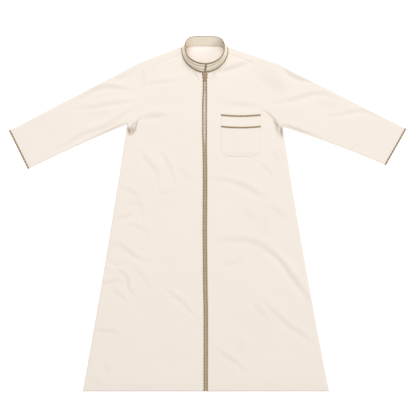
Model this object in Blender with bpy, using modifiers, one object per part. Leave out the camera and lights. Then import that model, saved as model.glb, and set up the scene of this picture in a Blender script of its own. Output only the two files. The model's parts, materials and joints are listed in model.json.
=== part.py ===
"""Thobe robe laid out flat on its back, face up, as its separate sewn pieces.

Metres, +Z up. The robe lies on the plane z = 0 with its neck towards +Y, its width along X and
the wearer's left at +X. Each piece of cloth is one wall, and neighbouring pieces stop just short
of each other at the seams. Only the zip's pull tab moves: it hinges on the slider.
"""
import math
from collections import namedtuple

import bmesh
import bpy
from mathutils import Vector

# ---------------------------------------------------------------- driving sizes
CLOTH = 0.0012              # wall of the cloth
SEAM_GAP = 0.0003           # clearance between neighbouring pieces
FACE_Z = 0.0052             # height of the upper layer's face
EDGE_Z = 0.0031             # height of the upper layer's face at the side seams
HEM_Z = 0.0042              # height of the upper layer's face at the hem
LOWEST_FACE_Z = 2 * CLOTH + 2 * SEAM_GAP
ROLL = 0.014                # width over which the fronts roll down to the side seams
HEM_FALL = 0.07             # length over which the fronts sink towards the hem

HEM_Y = -0.7108
HEM_CENTRE_X = -0.0080
NECK_CENTRE_X = -0.0122
FRONT_NECK_Y = 0.5625       # lowest point of the front neckline
BACK_NECK_Y = 0.6690        # top edge of the back panel between the shoulders

ZIP_GAP = 0.0026            # half the distance between the two fronts
ZIP_GAP_AT_NECK = 0.0052    # the same beside the slider
SPREAD_FROM_Y = 0.44        # the fronts start to spread here
SPREAD_TO_Y = 0.555

BRAID = 0.0062              # width of the braid
BRAID_WALL = 0.0012
COLLAR_BRAID = 0.0055
COLLAR_HEIGHT = 0.0425

# One row for each side of the wearer: plan positions of the corners of the robe.
Side = namedtuple("Side", "name sign hem_corner underarm tip neck cuff_top cuff_low side_bow arm_bow")
SIDES = (
    Side("right", -1, (-0.5010, HEM_Y), (-0.3230, 0.359), (-0.2830, 0.601), (-0.1080, 0.670),
         (-0.7955, 0.3330), (-0.7190, 0.1815), 0.004, 0.002),
    Side("left", 1, (0.4870, HEM_Y), (0.3010, 0.349), (0.2850, 0.599), (0.0845, 0.668),
         (0.7955, 0.3400), (0.7135, 0.1965), 0.006, 0.008),
)

# Armhole seam from the shoulder tip down to the underarm, one row for each point of its curve.
ARMHOLE = {
    "right": ((-0.2830, 0.601), (-0.2680, 0.565), (-0.2640, 0.500), (-0.2680, 0.440), (-0.2850, 0.402),
              (-0.3230, 0.359)),
    "left": ((0.2850, 0.599), (0.2690, 0.565), (0.2590, 0.500), (0.2580, 0.440), (0.2680, 0.398),
             (0.3010, 0.349)),
}

# Folds that lie in the upper layer. A fold runs from (x0, y0) to (x1, y1), bowed sideways by bow
# at its middle. Its floor sinks by depth, and rises where depth is negative.
Fold = namedtuple("Fold", "x0 y0 x1 y1 bow half_width depth")
FOLDS = tuple(Fold(*row) for row in (
    (0.019, 0.155, 0.200, 0.085, 0.006, 0.020, 0.0013),
    (0.215, 0.055, 0.300, -0.015, 0.004, 0.020, 0.0012),
    (0.035, -0.105, 0.404, -0.349, 0.052, 0.024, 0.0017),
    (0.060, -0.075, 0.400, -0.300, 0.052, 0.026, -0.0013),
    (0.179, -0.335, 0.230, -0.405, 0.004, 0.018, 0.0012),
    (0.239, -0.355, 0.409, -0.510, 0.012, 0.022, 0.0015),
    (0.260, -0.330, 0.430, -0.480, 0.012, 0.022, -0.0010),
    (0.030, -0.525, 0.130, -0.615, 0.006, 0.020, 0.0012),
    (0.219, 0.215, 0.264, 0.165, 0.003, 0.016, 0.0010),
    (-0.271, 0.245, -0.211, 0.135, -0.006, 0.018, 0.0012),
    (-0.191, 0.245, -0.127, 0.145, -0.006, 0.018, 0.0012),
    (-0.380, -0.125, -0.240, -0.185, -0.010, 0.022, 0.0014),
    (-0.391, -0.185, -0.311, -0.233, -0.010, 0.020, 0.0012),
    (-0.401, -0.265, -0.300, -0.305, 0.020, 0.020, 0.0012),
    (-0.160, -0.305, -0.040, -0.435, 0.006, 0.022, 0.0014),
    (-0.441, -0.470, -0.371, -0.475, 0.004, 0.020, 0.0012),
    (-0.271, 0.392, -0.185, 0.395, 0.004, 0.014, 0.0012),
    (-0.279, 0.372, -0.312, 0.312, -0.006, 0.010, 0.0015),
    (0.250, 0.405, 0.290, 0.312, 0.006, 0.011, 0.0015),
    (0.060, 0.580, 0.165, 0.600, 0.002, 0.014, 0.0010),
))
SLEEVE_FOLDS = tuple(Fold(*row) for row in (
    (-0.511, 0.465, -0.320, 0.503, 0.016, 0.018, 0.0012),
    (-0.503, 0.423, -0.312, 0.450, 0.014, 0.016, 0.0010),
    (-0.607, 0.258, -0.300, 0.420, 0.014, 0.018, 0.0014),
    (0.321, 0.569, 0.420, 0.532, 0.002, 0.014, 0.0014),
    (0.270, 0.450, 0.481, 0.474, -0.012, 0.018, 0.0012),
    (0.540, 0.402, 0.669, 0.395, 0.012, 0.018, 0.0010),
))

# ---------------------------------------------------------------- colours (linear RGB), roughness, metallic
Finish = namedtuple("Finish", "colour roughness metallic")
CREAM_CLOTH = Finish((0.88, 0.82, 0.74), 0.75, 0.0)
COLLAR_CLOTH = Finish((0.74, 0.69, 0.59), 0.75, 0.0)
OLIVE_BRAID = Finish((0.29, 0.23, 0.14), 0.70, 0.0)
ZIP_CLOTH = Finish((0.60, 0.53, 0.44), 0.80, 0.0)
ZIP_TEETH = Finish((0.45, 0.38, 0.30), 0.45, 0.0)
ZIP_METAL = Finish((0.42, 0.30, 0.24), 0.35, 0.6)


# ---------------------------------------------------------------- plan geometry
def mix(a, b, t):
    """The point or number a share t of the way from a to b."""
    return a + (b - a) * t


def smooth(t):
    """0 up to 0, 1 from 1, with a soft start and end between."""
    t = min(max(t, 0.0), 1.0)
    return t * t * (3 - 2 * t)


def curve_at(points, t):
    """A point of the smooth curve through points, t from 0 to 1 by row."""
    points = [Vector(p) for p in points]
    place = min(max(t, 0.0), 1.0) * (len(points) - 1)
    k = min(int(place), len(points) - 2)
    f = place - k
    p1, p2 = points[k], points[k + 1]
    p0 = points[k - 1] if k > 0 else 2 * p1 - p2
    p3 = points[k + 2] if k + 2 < len(points) else 2 * p2 - p1
    return 0.5 * (2 * p1 + (p2 - p0) * f + (2 * p0 - 5 * p1 + 4 * p2 - p3) * f * f
                  + (3 * p1 - p0 - 3 * p2 + p3) * f * f * f)


def centre_x(y):
    """The centre front line, which leans a little from hem to neck."""
    return mix(HEM_CENTRE_X, NECK_CENTRE_X, (y - HEM_Y) / (FRONT_NECK_Y - HEM_Y))


def opening_half(y):
    """Half the distance between the two fronts at height y of the robe."""
    return mix(ZIP_GAP, ZIP_GAP_AT_NECK, smooth((y - SPREAD_FROM_Y) / (SPREAD_TO_Y - SPREAD_FROM_Y)))


def side_edge(side, t):
    """The side seam, from the hem at t = 0 to the underarm at t = 1, bowed a little inwards."""
    point = mix(Vector(side.hem_corner), Vector(side.underarm), t)
    point.x -= side.sign * side.side_bow * 4 * t * (1 - t)
    return point


ARMHOLE_SEAM_SHARE = 0.19   # the shoulder seam meets the armhole this far down it
ARMHOLE_STEPS = 13          # straight steps of the armhole below the shoulder seam
ARMHOLE_STOPS = (0.0,) + tuple(
    ARMHOLE_SEAM_SHARE + (1 - ARMHOLE_SEAM_SHARE) * k / ARMHOLE_STEPS for k in range(ARMHOLE_STEPS + 1))


def armhole(side, t):
    """The armhole seam in its straight steps, from the shoulder tip at t = 0 to the underarm at 1."""
    for low, high in zip(ARMHOLE_STOPS, ARMHOLE_STOPS[1:]):
        if t <= high:
            break
    a, b = curve_at(ARMHOLE[side.name], low), curve_at(ARMHOLE[side.name], high)
    return mix(a, b, (t - low) / (high - low))


def armhole_outward(side, t):
    """The armhole's direction towards the sleeve."""
    step = 0.03
    along = armhole(side, min(t + step, 1.0)) - armhole(side, max(t - step, 0.0))
    return Vector((-along.y, along.x)).normalized() * side.sign


# The collar's seam and rim in plan: half an oval behind the centre and another in front of it.
Loop = namedtuple("Loop", "cx cy half_width back_depth back_power front_depth front_power cut_x")
COLLAR_SEAM = Loop(-0.0112, 0.6500, 0.0932, 0.0185, 6.5, 0.0868, 1.85, NECK_CENTRE_X)
COLLAR_RIM = Loop(-0.0130, 0.6560, 0.0780, 0.0540, 3.4, 0.0570, 1.85, -0.0075)
NECKLINE_TUCK = 0.0010      # the fronts' necklines reach this far under the collar


def loop_point(loop, angle):
    """A point of the loop; angle 0 is its front, growing towards the wearer's right."""
    across = -math.sin(angle)
    along = -math.cos(angle)
    depth, power = ((loop.back_depth, loop.back_power) if along > 0
                    else (loop.front_depth, loop.front_power))
    return Vector((
        loop.cx + loop.half_width * math.copysign(abs(across) ** (2 / power), across),
        loop.cy + depth * math.copysign(abs(along) ** (2 / power), along)))


def even_points(line, count, skip_first=0.0, skip_last=0.0):
    """count + 1 points at even steps along a finely stepped line, less a little at its ends."""
    travelled = [0.0]
    for a, b in zip(line, line[1:]):
        travelled.append(travelled[-1] + (b - a).length)
    points = []
    k = 0
    for step in range(count + 1):
        want = mix(skip_first, travelled[-1] - skip_last, step / count)
        while k < len(line) - 2 and travelled[k + 1] < want:
            k += 1
        points.append(mix(line[k], line[k + 1], (want - travelled[k]) / (travelled[k + 1] - travelled[k])))
    return points


LOOP_STEPS = 720            # fine steps round half a loop


def loop_stations(loop, count, slack):
    """count + 1 points round the loop, even from one side of its front cut to the back and on."""
    cut = -math.asin((loop.cut_x - loop.cx) / loop.half_width)
    right = [loop_point(loop, mix(cut, math.pi, k / LOOP_STEPS)) for k in range(LOOP_STEPS + 1)]
    left = [loop_point(loop, mix(math.pi, cut + 2 * math.pi, k / LOOP_STEPS))
            for k in range(LOOP_STEPS + 1)]
    return (even_points(right, count // 2, skip_first=slack)
            + even_points(left, count // 2, skip_last=slack)[1:])


NECKLINE_END = 1.42         # angle round the collar at which the shoulder seam meets it


def neckline(side, t):
    """The neck edge of the front, from the centre front at t = 0 to the shoulder seam at t = 1."""
    loop = COLLAR_SEAM._replace(half_width=COLLAR_SEAM.half_width - NECKLINE_TUCK,
                                front_depth=COLLAR_SEAM.front_depth - NECKLINE_TUCK)
    start = math.asin(opening_half(FRONT_NECK_Y) / loop.half_width)
    return loop_point(loop, -side.sign * mix(start, NECKLINE_END, t))


def shoulder_fold(side, t):
    """The top edge of the shoulder, from its tip at t = 0 to the neck at t = 1."""
    return mix(Vector(side.tip), Vector(side.neck), t)


def shoulder_seam(side, t):
    """The forward shoulder seam, from the armhole at t = 0 to the neckline at t = 1."""
    return mix(armhole(side, ARMHOLE_SEAM_SHARE), neckline(side, 1.0), t)


# ---------------------------------------------------------------- height of the upper layer
FOLD_END = 0.08             # a fold starts and ends at this share of its arch of depth


def fold_relief(folds, x, y):
    """How far the folds raise or sink the cloth at (x, y)."""
    total = 0.0
    here = Vector((x, y))
    for fold in folds:
        start, end = Vector((fold.x0, fold.y0)), Vector((fold.x1, fold.y1))
        run = end - start
        length = run.length
        ahead = run / length
        aside = Vector((-ahead.y, ahead.x))
        t = min(max((here - start).dot(ahead) / length, 0.0), 1.0)
        line = start + run * t + aside * fold.bow * 4 * t * (1 - t)
        away = (here - line).length / fold.half_width
        if away < 3:
            total -= fold.depth * math.exp(-away * away) * math.sin(math.pi * mix(FOLD_END, 1 - FOLD_END, t))
    return total


# The cloth stays level under the pocket and beside the zip.
POCKET_LEFT_X, POCKET_RIGHT_X = 0.0530, 0.2120
POCKET_TOP_Y, POCKET_BOTTOM_Y = 0.3985, 0.2290
POCKET_CUT_IN, POCKET_CUT_UP = 0.030, 0.018
LEVEL_MARGIN = 0.050
LEVEL_BY_ZIP = 0.032
LEVEL_BY_POCKET = 0.025


def level_share(x, y):
    """1 where folds may run, 0 beside the zip and under the pocket."""
    by_zip = smooth((abs(x - centre_x(y)) - LEVEL_BY_ZIP) / LEVEL_MARGIN)
    dx = max(POCKET_LEFT_X - x, x - POCKET_RIGHT_X, 0.0)
    dy = max(POCKET_BOTTOM_Y - y, y - POCKET_TOP_Y, 0.0)
    by_pocket = smooth((math.hypot(dx, dy) - LEVEL_BY_POCKET) / LEVEL_MARGIN)
    return by_zip * by_pocket


def front_face(side, x, y):
    """Height of the fronts' outer face."""
    t = (y - HEM_Y) / (side.underarm[1] - HEM_Y)
    from_side = side.sign * (side_edge(side, min(max(t, 0.0), 1.0)).x - x)
    rise = 1 - (1 - min(max(from_side / ROLL, 0.0), 1.0)) ** 2
    if t > 1:
        rise = 1.0
    top = mix(HEM_Z, FACE_Z, smooth((y - HEM_Y) / HEM_FALL))
    height = mix(EDGE_Z, top, rise) + fold_relief(FOLDS, x, y) * level_share(x, y) * rise
    return max(height, LOWEST_FACE_Z)


# ---------------------------------------------------------------- building tools
def clear_scene():
    for thing in list(bpy.data.objects):
        bpy.data.objects.remove(thing, do_unlink=True)


def new_collection(name):
    collection = bpy.data.collections.new(name)
    bpy.context.scene.collection.children.link(collection)
    return collection


def new_material(name, finish):
    material = bpy.data.materials.new(name)
    material.use_nodes = True
    shader = material.node_tree.nodes["Principled BSDF"]
    shader.inputs["Base Color"].default_value = (*finish.colour, 1.0)
    shader.inputs["Roughness"].default_value = finish.roughness
    shader.inputs["Metallic"].default_value = finish.metallic
    return material


def new_object(name, mesh, finish):
    thing = bpy.data.objects.new(name, mesh)
    PARTS.objects.link(thing)
    mesh.materials.append(new_material(name, finish))
    return thing


def lay_grid(bm, across, along, place):
    """Adds a grid of across by along cells and puts each of its points at place(i, j)."""
    grid = bmesh.ops.create_grid(bm, x_segments=across, y_segments=along, size=0.5)
    for vert in grid["verts"]:
        i = round((vert.co.x + 0.5) * across)
        j = round((vert.co.y + 0.5) * along)
        vert.co = place(i, j)


def cloth_piece(name, bm, finish, wall=CLOTH, offset=-1.0):
    """Gives the open surface in bm its wall; offset -1 keeps the surface as the outer face."""
    bmesh.ops.remove_doubles(bm, verts=bm.verts, dist=1e-6)
    mesh = bpy.data.meshes.new(name)
    bm.to_mesh(mesh)
    bm.free()
    mesh.shade_smooth()
    thing = new_object(name, mesh, finish)
    solidify = thing.modifiers.new("wall", "SOLIDIFY")
    solidify.thickness = wall
    solidify.offset = offset
    solidify.use_even_offset = True
    return thing


def grid_piece(name, across, along, place, finish, wall=CLOTH, offset=-1.0):
    bm = bmesh.new()
    lay_grid(bm, across, along, place)
    return cloth_piece(name, bm, finish, wall, offset)


# ---------------------------------------------------------------- fronts
FRONT_CELLS = 15            # columns of cells from the centre front to the side
SKIRT_ROWS = 26             # rows of cells from hem to underarm
CHEST_ROWS = 5              # rows on to the neckline's lowest point
NECK_ROWS = ARMHOLE_STEPS - CHEST_ROWS      # rows along the neckline
FRONT_ROWS = SKIRT_ROWS + CHEST_ROWS + NECK_ROWS
EDGE_STRIP = BRAID + 0.001  # the first column, under the braid
ROLL_STEPS = (0.010, 0.003, 0.0)    # the last columns, from the side edge
BEFORE_ROLL = 0.022         # the last of the even columns, from the side edge
CHEST_Y = 0.352             # where the centre front leaves the skirt rows


def front_inner(side, j):
    """The front's edge along the zip and the neckline, at row j."""
    if j <= SKIRT_ROWS:
        y = mix(HEM_Y, CHEST_Y, j / SKIRT_ROWS)
    elif j <= SKIRT_ROWS + CHEST_ROWS:
        y = mix(CHEST_Y, neckline(side, 0.0).y, (j - SKIRT_ROWS) / CHEST_ROWS)
    else:
        return neckline(side, (j - SKIRT_ROWS - CHEST_ROWS) / NECK_ROWS)
    return Vector((centre_x(y) + side.sign * opening_half(y), y))


def front_outer(side, j):
    """The front's edge along the side seam and the armhole, at row j."""
    if j <= SKIRT_ROWS:
        return side_edge(side, j / SKIRT_ROWS)
    share = (j - SKIRT_ROWS) / (CHEST_ROWS + NECK_ROWS)
    return armhole(side, mix(1.0, ARMHOLE_SEAM_SHARE, share))


def front_plan(side, i, j):
    """Plan position of point i, j of the front: i from the zip to the side, j from hem to shoulder."""
    inner, outer = front_inner(side, j), front_outer(side, j)
    length = (outer - inner).length
    spread = FRONT_CELLS - len(ROLL_STEPS)
    if i == 0:
        away = 0.0
    elif i > spread:
        away = length - ROLL_STEPS[i - spread - 1]
    else:
        away = mix(EDGE_STRIP, length - BEFORE_ROLL, (i - 1) / (spread - 1))
    return mix(inner, outer, away / length)


def front_point(side, i, j, lift=0.0):
    """Point i, j of the front's outer face, moved up by lift."""
    plan = front_plan(side, i, j)
    if j == FRONT_ROWS:
        # the edge stops short of the shoulder seam
        plan = plan + (front_plan(side, i, j - 1) - plan).normalized() * SEAM_GAP
    return Vector((plan.x, plan.y, front_face(side, plan.x, plan.y) + lift))


def build_front(side):
    def place(i, j):
        column = i if side.sign > 0 else FRONT_CELLS - i
        return front_point(side, column, j)
    grid_piece(f"front_{side.name}", FRONT_CELLS, FRONT_ROWS, place, CREAM_CLOTH)


# ---------------------------------------------------------------- back, with its turn over the shoulders
BACK_SIDE_CELLS = 5         # columns along each shoulder
BACK_NECK_CELLS = 6
BACK_CELLS = 2 * BACK_SIDE_CELLS + BACK_NECK_CELLS
BACK_ROWS = 12              # rows from hem to underarm
YOKE_ROWS = ARMHOLE_STEPS + 1       # rows from underarm to shoulder
# The turn over the shoulder: distance in from its edge and height as a share of FACE_Z.
Turn = namedtuple("Turn", "inwards height")
TURN = tuple(Turn(*row) for row in (
    (0.0060, 0.0), (0.0014, 0.14), (0.0, 0.5), (0.0014, 0.86), (0.0060, 1.0), (0.0180, 1.0), (1.0, 1.0)))


def shoulder_inset(side, t, inwards):
    """A point of the shoulder, inwards of its folded edge and at most at the forward seam."""
    fold, seam = shoulder_fold(side, t), shoulder_seam(side, t)
    run = seam - fold
    return fold + run * min(inwards / run.length, 1.0)


def back_top(i):
    """The back's flat top edge at column i, from the right shoulder tip to the left one."""
    right, left = SIDES
    if i <= BACK_SIDE_CELLS:
        return shoulder_inset(right, i / BACK_SIDE_CELLS, TURN[0].inwards)
    if i >= BACK_SIDE_CELLS + BACK_NECK_CELLS:
        return shoulder_inset(left, (BACK_CELLS - i) / BACK_SIDE_CELLS, TURN[0].inwards)
    share = (i - BACK_SIDE_CELLS) / BACK_NECK_CELLS
    return Vector((mix(right.neck[0], left.neck[0], share), BACK_NECK_Y))


def back_edge(side, j):
    """The back's side edge at row j: side seam, then armhole."""
    if j <= BACK_ROWS:
        return side_edge(side, j / BACK_ROWS)
    if j == BACK_ROWS + YOKE_ROWS:
        return shoulder_inset(side, 0.0, TURN[0].inwards)
    return armhole(side, ARMHOLE_STOPS[len(ARMHOLE_STOPS) - 1 - (j - BACK_ROWS)])


def back_plan(i, j):
    right, left = SIDES
    top_row = BACK_ROWS + YOKE_ROWS
    if j == top_row:
        return back_top(i)
    a, b = back_edge(right, j), back_edge(left, j)
    top_share = (back_top(i).x - back_top(0).x) / (back_top(BACK_CELLS).x - back_top(0).x)
    share = mix(i / BACK_CELLS, top_share, j / top_row)
    plan = mix(a, b, share)
    # the rows near the top follow the slope of the shoulders
    pull = smooth((j - BACK_ROWS) / YOKE_ROWS)
    level = mix(a, b, top_share).y
    top_level = mix(back_top(0), back_top(BACK_CELLS), top_share).y
    plan.y += (back_top(i).y - top_level) * pull * (level > side_edge(right, 1.0).y - 0.05)
    return plan


def build_back():
    bm = bmesh.new()
    # the outer face looks down, so the columns run from left to right
    lay_grid(bm, BACK_CELLS, BACK_ROWS + YOKE_ROWS,
             lambda i, j: back_plan(BACK_CELLS - i, j).to_3d())
    for side in SIDES:
        def place(i, j, side=side):
            turn = TURN[j]
            t = (1 - i / BACK_SIDE_CELLS) if side.sign < 0 else i / BACK_SIDE_CELLS
            plan = shoulder_inset(side, t, turn.inwards)
            return Vector((plan.x, plan.y, FACE_Z * turn.height))
        lay_grid(bm, BACK_SIDE_CELLS, len(TURN) - 1, place)
    cloth_piece("back", bm, CREAM_CLOTH)


# ---------------------------------------------------------------- sleeves
SLEEVE_ROWS = 14
SLEEVE_SEAM_GAP = 0.0008
CUFF_STRIP = BRAID + 0.001
CUFF_LIFT = BRAID_WALL + SEAM_GAP
# The rounded edge of a flattened tube: distance in from its edge and height as a share.
ROUND_EDGE = tuple(Turn(*row) for row in ((0.0, 0.5), (0.0014, 0.86), (0.0060, 1.0)))


def sleeve_rows():
    """Positions of the sleeve's rings, 0 at the armhole and in metres before the cuff."""
    even = [k / (SLEEVE_ROWS - 2) for k in range(SLEEVE_ROWS - 2)]
    return [(share, None) for share in even] + [(None, 2 * CUFF_STRIP), (None, CUFF_STRIP), (None, 0.0)]


def sleeve_line(side, w, row):
    """Plan point of the sleeve: w = 0 at the upper edge and 1 at the underarm seam."""
    start = armhole(side, w) + armhole_outward(side, w) * SLEEVE_SEAM_GAP
    end = mix(Vector(side.cuff_top), Vector(side.cuff_low), w)
    run = end - start
    share, before_cuff = row
    if share is None:
        share = 1 - before_cuff / run.length
    point = start + run * share
    bow = side.arm_bow * 4 * share * (1 - share) * w
    return point + Vector((-side.sign * run.normalized().y, side.sign * run.normalized().x)) * bow


def sleeve_section(side, row, low, high, swell=0.0, folds=SLEEVE_FOLDS):
    """Points round one ring of the sleeve, from its upper edge over the face and back beneath."""
    top_edge, low_edge = sleeve_line(side, 0.0, row), sleeve_line(side, 1.0, row)
    width = (low_edge - top_edge).length
    face = []
    for turn in ROUND_EDGE:
        face.append((turn.inwards / width, turn.height))
    for stop in ARMHOLE_STOPS[1:-1]:
        face.append((stop, 1.0))
    for turn in reversed(ROUND_EDGE):
        face.append((1 - turn.inwards / width, turn.height))
    ring = []
    outward = (top_edge - low_edge).normalized() * swell
    for w, height in face:
        plan = sleeve_line(side, w, row) + outward * (1 - 2 * w)
        z = mix(low, high, height)
        if height == 1.0:
            z += fold_relief(folds, plan.x, plan.y)
        ring.append(Vector((plan.x, plan.y, z)))
    for w, height in reversed(face[1:-1]):
        plan = sleeve_line(side, w, row) + outward * (1 - 2 * w)
        ring.append(Vector((plan.x, plan.y, mix(low, high, 1 - height))))
    return ring


def tube_piece(name, rings, finish, wall):
    """A tube through rings of equal point counts, open at both ends."""
    count = len(rings[0])
    bm = bmesh.new()
    lay_grid(bm, count, len(rings) - 1, lambda i, j: rings[j][i % count])
    bmesh.ops.remove_doubles(bm, verts=bm.verts, dist=1e-6)
    bmesh.ops.recalc_face_normals(bm, faces=bm.faces)
    return cloth_piece(name, bm, finish, wall)


def build_sleeve(side):
    rings = []
    for row in sleeve_rows():
        at_cuff = row[0] is None and row[1] <= CUFF_STRIP
        rings.append(sleeve_section(side, row, CUFF_LIFT if at_cuff else 0.0, FACE_Z))
    tube_piece(f"sleeve_{side.name}", rings, CREAM_CLOTH, CLOTH)


def build_cuff_braid(side):
    lift = BRAID_WALL + SEAM_GAP
    rings = [sleeve_section(side, row, 0.0, FACE_Z + lift, swell=lift, folds=())
             for row in ((None, BRAID), (None, 0.0))]
    tube_piece(f"cuff_braid_{side.name}", rings, OLIVE_BRAID, BRAID_WALL)


# ---------------------------------------------------------------- collar
COLLAR_STATIONS = 56
COLLAR_CUT = 0.0004         # half the slit between the collar's two front ends
COLLAR_BACK_Z = BRAID_WALL + SEAM_GAP + CLOTH / 2 + 0.0001
COLLAR_FRONT_Z = FACE_Z + SEAM_GAP + CLOTH / 2
COLLAR_EASE = 0.012         # softens the change from the laid back to the raised sides
END_BRAID = 0.0040
SEAM_BRAID_FROM = 0.0025    # distance of the seam braid's lower edge from the band's edge
LAID_FROM_Y, LAID_WITHIN_Y = 0.640, 0.026       # the seam sinks to the back over this run
LAID_HALF, LAID_WITHIN_X = 0.092, 0.014         # and inwards of its two back corners


def collar_rise(leans):
    """Rise of the band's rim over its seam where it leans over by leans; the fully laid band is flat."""
    spare = max(COLLAR_HEIGHT ** 2 - leans ** 2, 0.0)
    return spare / math.sqrt(spare + COLLAR_EASE ** 2)


def collar_lines():
    """The band's seam and rim lines in space, in step round the neck."""
    seam = loop_stations(COLLAR_SEAM, COLLAR_STATIONS, COLLAR_CUT)
    rim = loop_stations(COLLAR_RIM, COLLAR_STATIONS, COLLAR_CUT)
    low, high = [], []
    for s, r in zip(seam, rim):
        behind = (smooth((s.y - LAID_FROM_Y) / LAID_WITHIN_Y)
                  * smooth((LAID_HALF - abs(s.x - COLLAR_SEAM.cx)) / LAID_WITHIN_X))
        z = mix(COLLAR_FRONT_Z, COLLAR_BACK_Z, behind)
        low.append(Vector((s.x, s.y, z)))
        high.append(Vector((r.x, r.y, z + collar_rise((r - s).length))))
    return low, high


def collar_point(low, high, k, height):
    """The point of the band's middle surface at station k, this far up from its seam."""
    return low[k] + (high[k] - low[k]).normalized() * height


def collar_outward(low, high, k, height):
    """The band's outward direction at that point."""
    before, after = max(k - 1, 0), min(k + 1, len(low) - 1)
    around = collar_point(low, high, after, height) - collar_point(low, high, before, height)
    return (high[k] - low[k]).cross(around).normalized()


def collar_strip(name, heights, lift, wall, finish):
    """A strip all round the collar with rows at heights, its middle moved out by lift."""
    low, high = collar_lines()

    def place(i, j):
        return (collar_point(low, high, i, heights[j])
                + collar_outward(low, high, i, heights[j]) * lift)
    return grid_piece(name, COLLAR_STATIONS, len(heights) - 1, place, finish, wall, 0.0)


def build_collar():
    on_band = CLOTH / 2 + SEAM_GAP + BRAID_WALL / 2
    top = COLLAR_HEIGHT
    rows = (0.0, SEAM_BRAID_FROM, SEAM_BRAID_FROM + COLLAR_BRAID, top / 2, top - COLLAR_BRAID, top)
    collar_strip("collar_band", rows, 0.0, CLOTH, COLLAR_CLOTH)
    collar_strip("collar_rim_braid", (top - COLLAR_BRAID, top), on_band, BRAID_WALL, OLIVE_BRAID)
    collar_strip("collar_seam_braid", (SEAM_BRAID_FROM, SEAM_BRAID_FROM + COLLAR_BRAID), on_band,
                 BRAID_WALL, OLIVE_BRAID)
    build_collar_ends(on_band)


def build_collar_ends(on_band):
    """The braid up each front end of the collar, between the seam braid and the rim braid."""
    low, high = collar_lines()
    from_height = SEAM_BRAID_FROM + COLLAR_BRAID + SEAM_GAP
    to_height = COLLAR_HEIGHT - COLLAR_BRAID - SEAM_GAP
    for side in SIDES:
        k, beside = (0, 1) if side.sign < 0 else (COLLAR_STATIONS, COLLAR_STATIONS - 1)

        def corner(i, j):
            height = mix(from_height, to_height, j)
            base = collar_point(low, high, k, height)
            along = (collar_point(low, high, beside, height) - base).normalized()
            inwards = i if side.sign < 0 else 1 - i
            return base + along * END_BRAID * inwards + collar_outward(low, high, k, height) * on_band
        grid_piece(f"collar_end_braid_{side.name}", 1, 1, corner, OLIVE_BRAID, BRAID_WALL, 0.0)


# ---------------------------------------------------------------- braids on the fronts
BRAID_END = 0.0022          # the braid ends this far below the front's neckline


def build_front_braid(side):
    """The braid lies on the front's first column, clear of the collar's braid."""
    rows = SKIRT_ROWS + CHEST_ROWS
    lift = SEAM_GAP + BRAID_WALL

    def place(i, j):
        column = i if side.sign > 0 else 1 - i
        a, b = front_point(side, 0, j, lift), front_point(side, 1, j, lift)
        point = mix(a, b, column * BRAID / EDGE_STRIP)
        if j == rows:
            below = front_point(side, 0, j - 1, lift)
            point += (below - a).normalized() * BRAID_END
        return point
    grid_piece(f"front_braid_{side.name}", 1, rows, place, OLIVE_BRAID, BRAID_WALL)


# ---------------------------------------------------------------- pocket
POCKET_CELLS = 6
POCKET_BRAID = 0.0064
UPPER_BRAID_Y, LOWER_BRAID_Y = 0.3950, 0.3490
BRAID_SAG = 0.0045


def build_pocket():
    """The patch pocket, with both lower corners cut off, and its two rows of braid."""
    lift = SEAM_GAP + CLOTH
    across = along = POCKET_CELLS

    def place(i, j):
        x = mix(POCKET_LEFT_X, POCKET_RIGHT_X, i / across)
        y = mix(POCKET_BOTTOM_Y, POCKET_TOP_Y, j / along)
        from_corner = min(x - POCKET_LEFT_X, POCKET_RIGHT_X - x)
        if j == 0 and from_corner < POCKET_CUT_IN:
            y += POCKET_CUT_UP * (1 - from_corner / POCKET_CUT_IN)
        y -= BRAID_SAG * sag(x) * (j / along)
        return Vector((x, y, FACE_Z + lift))
    grid_piece("pocket", across, along, place, CREAM_CLOTH)
    for name, y in (("upper", UPPER_BRAID_Y), ("lower", LOWER_BRAID_Y)):
        def braid_place(i, j, y=y):
            x = mix(POCKET_LEFT_X, POCKET_RIGHT_X, i / across)
            return Vector((x, y + POCKET_BRAID * (j - 0.5) - BRAID_SAG * sag(x),
                           FACE_Z + lift + SEAM_GAP + BRAID_WALL))
        grid_piece(f"pocket_braid_{name}", across, 1, braid_place, OLIVE_BRAID, BRAID_WALL)


def sag(x):
    """The pocket's top sags most at its middle."""
    share = (x - POCKET_LEFT_X) / (POCKET_RIGHT_X - POCKET_LEFT_X)
    return 4 * share * (1 - share)


# ---------------------------------------------------------------- zip
TAPE_WALL = 0.0010
TAPE_INNER, TAPE_OUTER = 0.0025, 0.0145     # distances of a tape's edges from the centre front
CHAIN_HALF = 0.0022
CHAIN_WALL = 0.0018
CHAIN_TOP_Y = 0.5585
CHAIN_MIDDLE_BELOW_FACE = 0.0020
SLIDER_LOW_Y, SLIDER_TOP_Y = 0.5500, 0.5610
SLIDER_HALF = 0.0042
PLATE = 0.0006
PLATE_GAP = 0.0003
HINGE_Y = 0.5568
BAR = 0.0012                # the tab's hinge bar is square
ARCH_HALF = 0.0008
ARCH_HOLE = 0.0026
ARCH_POST = 0.0011
ARCH_TOP = 0.0008
TAB_LENGTH = 0.0270
TAB_HALF, RING_HALF = 0.0036, 0.0027
TAB_HOLE = 0.0013
TAB_NECK_Y, TAB_WIDE_Y = -0.006, -0.010     # the tab widens between these
TAB_STEPS = 8
HOLE_STEPS = 10
RING_WALL = 0.0012
PLATE_SETBACK = 0.0005      # the lower plate and the slider's neck stand this far back
NECK_HALF = 0.0014
STRIP_FROM_HEM = 0.002      # the zip's strips end this far above the hem


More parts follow.
